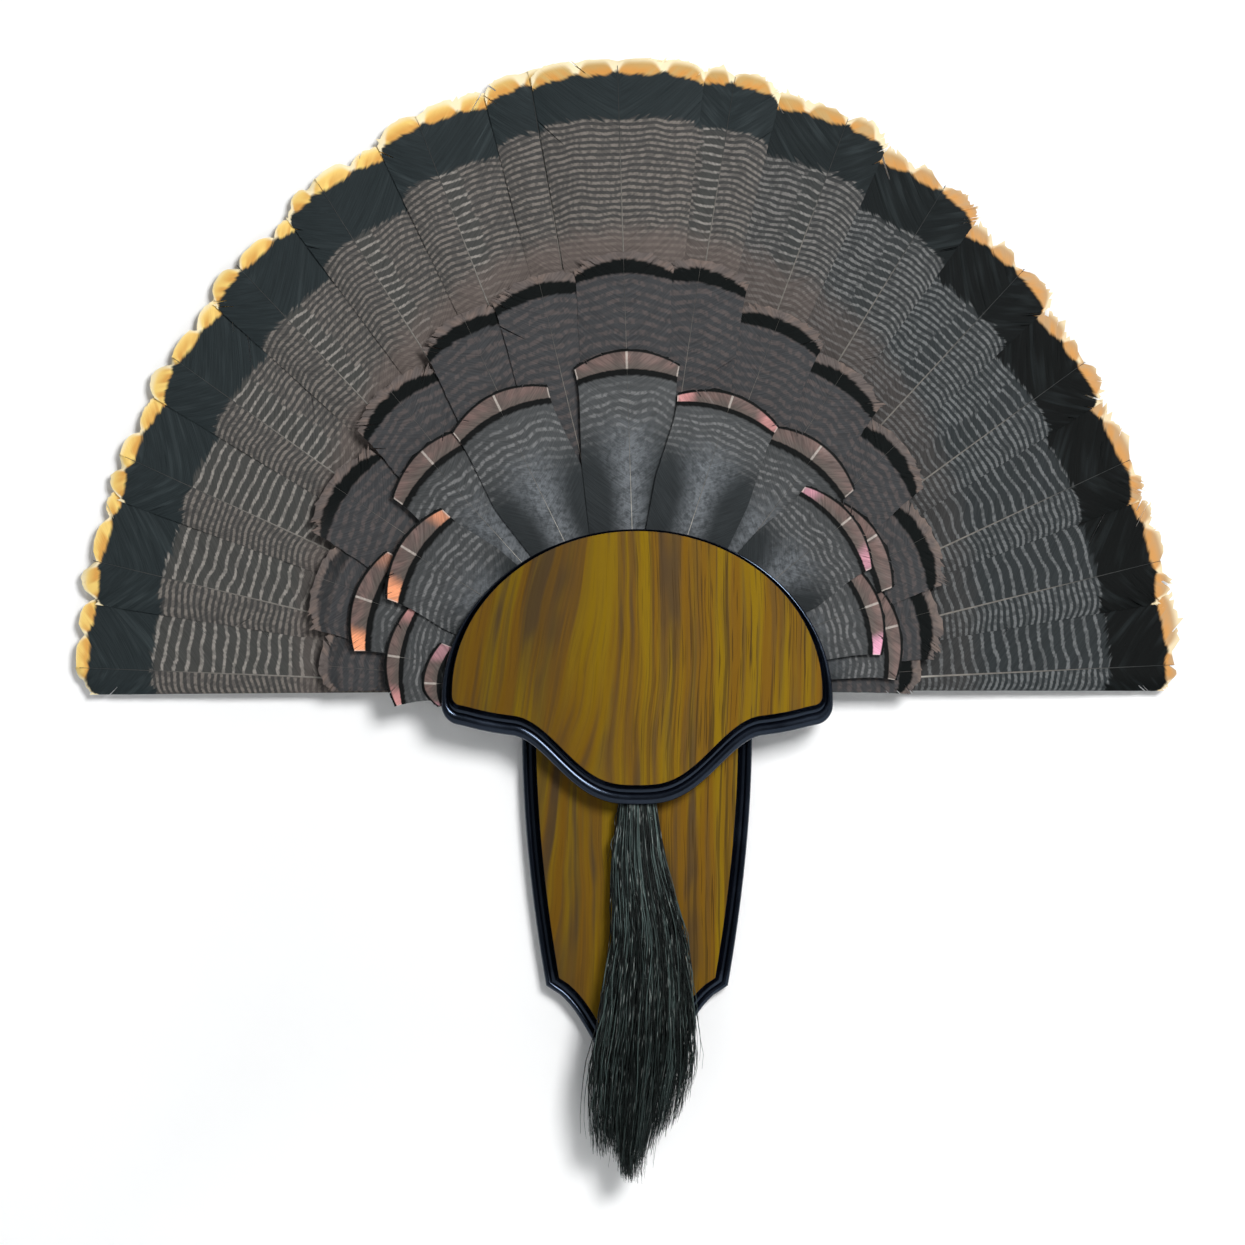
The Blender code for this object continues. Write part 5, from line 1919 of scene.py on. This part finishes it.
    def _board_sheet(self) -> Piece:
        """The board's wood-grain sheet, cut off under the cap.

        Returns:
            The sheet.
        """
        face = -self.board_low.y
        sheet = self._sheet_from("beard_board_sheet", self.board_outline(), self.board_rim, 0.0, face)
        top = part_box("beard_board_veneer")[1].z
        cut_box(sheet, (-FAR, -FAR, top), (FAR, FAR, FAR))
        finish_mesh(sheet, BOARD_SMOOTH_DEG)
        return sheet

    def _cap_sheet(self) -> Piece:
        """The cap's wood-grain sheet.

        Returns:
            The sheet.
        """
        face = -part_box("fan_cap")[0].y
        sheet = self._sheet_from("fan_cap_sheet", self.cap_outline(), self.cap_rim, self.cap_lean, face)
        finish_mesh(sheet, BOARD_SMOOTH_DEG)
        return sheet


class BeardSection(NamedTuple):
    """A section of the beard: its level, its left and right edges and its half depth."""

    z: float
    left: float
    right: float
    half_depth: float


@dataclass
class Beard:
    """The hanging beard: wiry bristles that part into wisps towards their tips."""

    back: float = 0.0177
    strands: int = 1200
    points: int = 20
    thick: float = 0.00035
    thick_range: Pair = (0.65, 1.2)
    taper: tuple[Pair, ...] = ((0.0, 0.9), (0.25, 1.0), (0.8, 0.8), (1.0, 0.25))
    seed: int = 7
    sections: tuple[BeardSection, ...] = (
        BeardSection(-0.0605, -0.0116, 0.0116, 0.0052),
        BeardSection(-0.0730, -0.0117, 0.0122, 0.0055),
        BeardSection(-0.1060, -0.0158, 0.0176, 0.0072),
        BeardSection(-0.1180, -0.0160, 0.0203, 0.0077),
        BeardSection(-0.1570, -0.0167, 0.0310, 0.0092),
        BeardSection(-0.1770, -0.0194, 0.0335, 0.0100),
        BeardSection(-0.2110, -0.0252, 0.0368, 0.0115),
        BeardSection(-0.2350, -0.0303, 0.0378, 0.0121),
        BeardSection(-0.2760, -0.0323, 0.0300, 0.0100),
        BeardSection(-0.3000, -0.0300, 0.0220, 0.0085),
        BeardSection(-0.3190, -0.0260, 0.0200, 0.0080),
    )
    belly: float = 1.08
    tip_line: tuple[Pair, ...] = (
        (-1.0, -0.284), (-0.80, -0.3005), (-0.55, -0.2955), (-0.20, -0.314), (0.05, -0.3186), (0.25, -0.309),
        (0.50, -0.290), (0.75, -0.281), (0.90, -0.262), (1.0, -0.246),
    )
    shortening: float = 0.005
    short_shape: float = 1.3
    shortest: float = 0.02
    wisps: int = 23
    wisp_near: float = 0.6
    wisp_pull: float = 0.0026
    pull_turn: float = 12.9
    wisp_rise: float = 0.004
    rise_turn: float = 5.3
    loose: float = 0.0010
    stray_share: float = 0.05
    stray_pull: float = 0.006
    stray_range: Pair = (-0.3, 1.0)
    tuft_edge: float = -0.55
    tuft_share: float = 0.13
    tuft_tip: float = -0.1190
    tuft_spread: float = 0.014
    tuft_pull: float = 0.0052
    tuft_range: Pair = (0.1, 1.0)
    wiggle: float = 0.0009
    wiggle_range: Pair = (0.3, 1.5)
    wiggle_onset: float = 2.5
    wiggle_deep: float = 0.6
    wiggle_cycles: Pair = (1.7, 3.9)
    cycle_range: Pair = (0.7, 1.3)

    def build(self) -> None:
        """Builds the beard."""
        piece = self._bristles()
        piece.data.materials.clear()
        piece.data.materials.append(Bristle("black_beard_bristle", roughness=0.44, specular=0.22).build())
        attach(piece, BEARD_BODY)
        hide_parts("beard")
        log.info("beard %s: %d faces", piece.name, len(piece.data.polygons))

    @property
    def length(self) -> float:
        """Length of the longest bristle."""
        return self.sections[0].z - min(z for _, z in self.tip_line)

    def _bristles(self) -> Piece:
        """Every bristle as a tapering tube.

        Returns:
            The bristles as one mesh.
        """
        random, count = np.random.default_rng(self.seed), self.strands
        index = np.arange(count)
        radius, turn = np.sqrt((index + 0.5) / count), index * math.pi * (3 - math.sqrt(5))
        across, out = radius * np.cos(turn), radius * np.sin(turn)
        wisp = random.integers(0, self.wisps, count)
        near = random.uniform(0, 1, count) < self.wisp_near
        wisp = np.where(near, np.floor((across + 1) / 2 * self.wisps), wisp)
        share = np.linspace(0, 1, self.points)[None, :]
        z = self._levels(across, wisp, share, random)
        pull = self.wisp_pull * np.sin(wisp * self.pull_turn) + random.normal(0, self.loose, count)
        stray = random.uniform(0, 1, count) < self.stray_share
        pull = pull + stray * random.uniform(*self.stray_range, count) * self.stray_pull * np.sign(across)
        tuft = (across < self.tuft_edge) & (random.uniform(0, 1, count) < self.tuft_share)
        ends = self.tuft_tip + random.uniform(0, self.tuft_spread, count)
        z = np.where(tuft[:, None], z[:, :1] + (ends - z[:, 0])[:, None] * share, z)
        x, height = self._places(across, out, z)
        pull = np.where(tuft, -self.tuft_pull * random.uniform(*self.tuft_range, count), pull)
        x = x + pull[:, None] * share**2
        for cycles in self.wiggle_cycles:
            waves = random.uniform(*self.cycle_range, (count, 1)) * cycles
            phase = random.uniform(0, math.tau, (2, count, 1))
            size = self.wiggle * random.uniform(*self.wiggle_range, (count, 1))
            size = size * np.clip(share * self.wiggle_onset, 0, 1)
            x = x + size * np.sin(share * waves * math.tau + phase[0])
            height = height + self.wiggle_deep * size * np.sin(share * waves * math.tau + phase[1])
        height = np.maximum(height, self.back + self.thick)
        return self._tubes(np.stack((x, -height, z), axis=-1), random)

    def _levels(self, across: Array, wisp: Array, share: Array, random: np.random.Generator) -> Array:
        """Levels along each bristle, down to a ragged line of tips.

        Args:
            across: Place of each bristle from the left edge, -1, to the right edge, 1.
            wisp: The wisp that each one belongs to.
            share: Shares of its length.
            random: Source of the raggedness.

        Returns:
            Levels by bristle and point.
        """
        tips = np.interp(across, *np.array(self.tip_line).T)
        tips = tips + random.gamma(self.short_shape, self.shortening, self.strands)
        tips = tips + self.wisp_rise * (1 + np.sin(wisp * self.rise_turn)) / 2
        top = self.sections[0].z
        return top + (np.minimum(tips, top - self.shortest) - top)[:, None] * share

    def _places(self, across: Array, out: Array, z: Array) -> tuple[Array, Array]:
        """Where bristles lie at each level, from the beard's sections.

        Args:
            across: Place of each bristle from the left edge, -1, to the right edge, 1.
            out: Its place from the back, -1, to the front, 1.
            z: Its levels.

        Returns:
            Place across and height above the wall, by bristle and level.
        """
        level, *edges = np.array(self.sections).T
        left, right, depth = (np.interp(-z, -level, edge) for edge in edges)
        x = left + (right - left) * (across[:, None] + 1) / 2
        return x, self.back + depth * (self.belly + out[:, None])

    def _tubes(self, spots: Array, random: np.random.Generator) -> Piece:
        """Turns lines of points into thin tubes of one mesh.

        Args:
            spots: Points by bristle, place and axis.
            random: Source of the bristles' shades and thickness.

        Returns:
            The mesh with a shade and a level stored at every point.
        """
        curve = bpy.data.curves.new("beard_bristles", "CURVE")
        curve.dimensions = "3D"
        curve.bevel_depth = self.thick
        curve.bevel_resolution = 0
        curve.use_fill_caps = True
        taper = np.interp(np.linspace(0, 1, self.points), *np.array(self.taper).T)
        for line, size in zip(spots, random.uniform(*self.thick_range, len(spots))):
            spline = curve.splines.new("POLY")
            spline.points.add(self.points - 1)
            spline.points.foreach_set("co", np.c_[line, np.ones(self.points)].ravel())
            spline.points.foreach_set("radius", taper * size)
        bristles = bpy.data.objects.new("beard_bristles", curve)
        bpy.context.collection.objects.link(bristles)
        activate(bristles)
        bpy.ops.object.convert(target="MESH")
        bristles = bpy.context.object
        z = points_of(bristles.data)[:, 2]
        chance = np.repeat(random.uniform(0, 1, len(spots)), len(z) // len(spots))
        down = (self.sections[0].z - z) / self.length
        set_vectors(bristles.data, "strand", np.stack((chance, down, 0 * down), axis=-1))
        bpy.ops.object.shade_smooth()
        return bristles


@dataclass
class Fixings:
    """The solids that keep their shape and only get a finish."""

    nodes: dict[str, Piece]

    def dress(self) -> None:
        """Gives every kept solid its finish."""
        shared = {"grain": clouded_grain()}
        metal = {"metallic": 1.0, "relief": 0.0001, **shared}
        hide = Mottled("cured_hide_skin", roughness=0.80, **shared).build()
        zinc = Mottled(
            "zinc_plated_steel", roughness=0.34, tone=srgb(188, 190, 192), shade=srgb(140, 142, 146),
            cloud_scale=160.0, grain_scale=1800.0, **metal,
        ).build()
        brass = Mottled(
            "brassed_sheet", roughness=0.30, tone=srgb(196, 162, 92), shade=srgb(150, 116, 58),
            cloud_scale=120.0, grain_scale=1500.0, **metal,
        ).build()
        finishes = {"fan_base": hide, "beard_root": hide, "wall_hanger": brass}
        finishes |= {name: zinc for name in self.nodes if "screw" in name or "nail" in name}
        for name, finish in finishes.items():
            node = self.nodes[name]
            node.data.materials.clear()
            node.data.materials.append(finish)
            log.info("dressed %s", name)


class Lamp(NamedTuple):
    """A square soft light: its name, its middle, the length of its sides and its power in watts."""

    name: str
    place: tuple[float, float, float]
    size: float
    watts: float


@dataclass
class Studio:
    """The wall behind, the floor below, soft lights and the camera."""

    wall_y: float = 0.0012
    wall_size: float = 5.0
    wall_lift: Ramp = (0.20, 0.42, 0.0, 0.09)
    floor_z: float = -0.95
    floor_size: float = 6.0
    floor_grey: float = 0.80
    air: Colour = (0.92, 0.97, 1.0)
    air_level: Ramp = (-0.95, -0.2, 0.10, 0.31)
    lamps: tuple[Lamp, ...] = (
        Lamp("key_softbox", (1.2, -2.6, 1.2), 1.0, 86.0),
        Lamp("fill_softbox", (-1.2, -2.6, 0.9), 1.6, 3.0),
        Lamp("low_softbox", (0.9, -2.2, -1.5), 0.5, 4.0),
    )
    view_width: float = 0.803
    distance: float = 3.0
    centre_x: float = -0.00935
    centre_z: float = 0.0435

    def build(self) -> None:
        """Builds the stage."""
        upright = (math.pi / 2, 0, 0)
        self._panel("backdrop_wall", (0, self.wall_y, 0), upright, self.wall_size, self._wall_finish())
        floor = PlainPaint("pale_floor", roughness=0.9, colour=(self.floor_grey,) * 3).build()
        self._panel("studio_floor", (0, -1.0, self.floor_z), (0, 0, 0), self.floor_size, floor)
        self._world()
        for lamp in self.lamps:
            self._light(lamp)
        self._camera()

    def _panel(
        self, name: str, place: Sequence[float], turn: Sequence[float], size: float, finish: Material
    ) -> None:
        """A flat part of the stage.

        Args:
            name: Its name.
            place: Its middle.
            turn: Its turn about the axes.
            size: Length of its sides.
            finish: Its finish.
        """
        deselect()
        bpy.ops.mesh.primitive_plane_add(size=size, location=place, rotation=turn)
        panel = bpy.context.object
        panel.name = name
        panel.data.materials.append(finish)

    def _rays(self, graph: Graph, *kinds: str) -> Wire:
        """Picks out rays of some kinds.

        Args:
            graph: The graph.
            *kinds: Names of two or more kinds of ray.

        Returns:
            1 for those rays and 0 for the rest.
        """
        path = graph.node("ShaderNodeLightPath")
        first, *others, last = (Wire(graph, path.outputs[kind]) for kind in kinds)
        return graph.math("ADD", sum(others, first), last, clamp=True)

    def _wall_finish(self) -> Material:
        """White wall that keeps the shadow, is lifted away from the object and shows only its front.

        Returns:
            The material.
        """
        material = bpy.data.materials.new("white_wall")
        material.use_nodes = True
        graph, nodes = Graph(material.node_tree), material.node_tree.nodes
        nodes.remove(nodes["Principled BSDF"])
        front = 1.0 - graph.wire("ShaderNodeNewGeometry", output="Backfacing")
        seen = self._rays(graph, "Is Camera Ray", "Is Glossy Ray", "Is Transmission Ray")
        x, up, _ = graph.place()
        lift = graph.math("MAXIMUM", abs(x), abs(up)).ramp(*self.wall_lift)
        matt = graph.wire("ShaderNodeBsdfDiffuse", {"Color": WHITE})
        glow = graph.wire("ShaderNodeEmission", {"Color": WHITE, "Strength": lift})
        white = graph.wire("ShaderNodeAddShader", {0: matt, 1: glow})
        clear = graph.wire("ShaderNodeBsdfTransparent")
        blend = graph.wire("ShaderNodeMixShader", {0: front * seen, 1: clear, 2: white})
        graph.feed(nodes["Material Output"], {"Surface": blend})
        return material

    def _world(self) -> None:
        """Soft light from all round, dimmer from the camera's side, and white to the camera."""
        world = bpy.data.worlds.new("studio_air")
        bpy.context.scene.world = world
        world.use_nodes = True
        graph = Graph(world.node_tree)
        _, ahead, _ = graph.wire("ShaderNodeTexCoord", output="Generated").split()
        air = graph.shade(self.air, ahead.ramp(*self.air_level))
        colour = graph.mix(self._rays(graph, "Is Camera Ray", "Is Transmission Ray"), air, WHITE)
        graph.feed(world.node_tree.nodes["Background"], {"Color": colour})

    def _light(self, lamp: Lamp) -> None:
        """Adds a lamp that is aimed at the fan.

        Args:
            lamp: The lamp.
        """
        data = bpy.data.lights.new(lamp.name, "AREA")
        data.size = lamp.size
        data.energy = lamp.watts
        light = bpy.data.objects.new(lamp.name, data)
        light.location = lamp.place
        aim = Vector((0, 0, self.centre_z)) - Vector(lamp.place)
        light.rotation_euler = aim.to_track_quat("-Z", "Y").to_euler()
        bpy.context.collection.objects.link(light)

    def _camera(self) -> None:
        """The camera, square to the wall."""
        data = bpy.data.cameras.new("camera")
        data.lens = data.sensor_width * self.distance / self.view_width
        camera = bpy.data.objects.new("camera", data)
        camera.location = (self.centre_x, -self.distance, self.centre_z)
        camera.rotation_euler = (math.pi / 2, 0, 0)
        bpy.context.collection.objects.link(camera)
        bpy.context.scene.camera = camera


def main() -> None:
    """Builds and dresses the plaque."""
    logging.basicConfig(level=logging.INFO, format="%(name)s: %(message)s")
    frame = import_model()
    bpy.context.scene.view_settings.view_transform = "Standard"
    Fan(frame["nodes"], FeatherPatterns()).build()
    Plaque().build()
    Beard().build()
    Fixings(frame["nodes"]).dress()
    Studio().build()


if __name__ == "__main__":
    main()
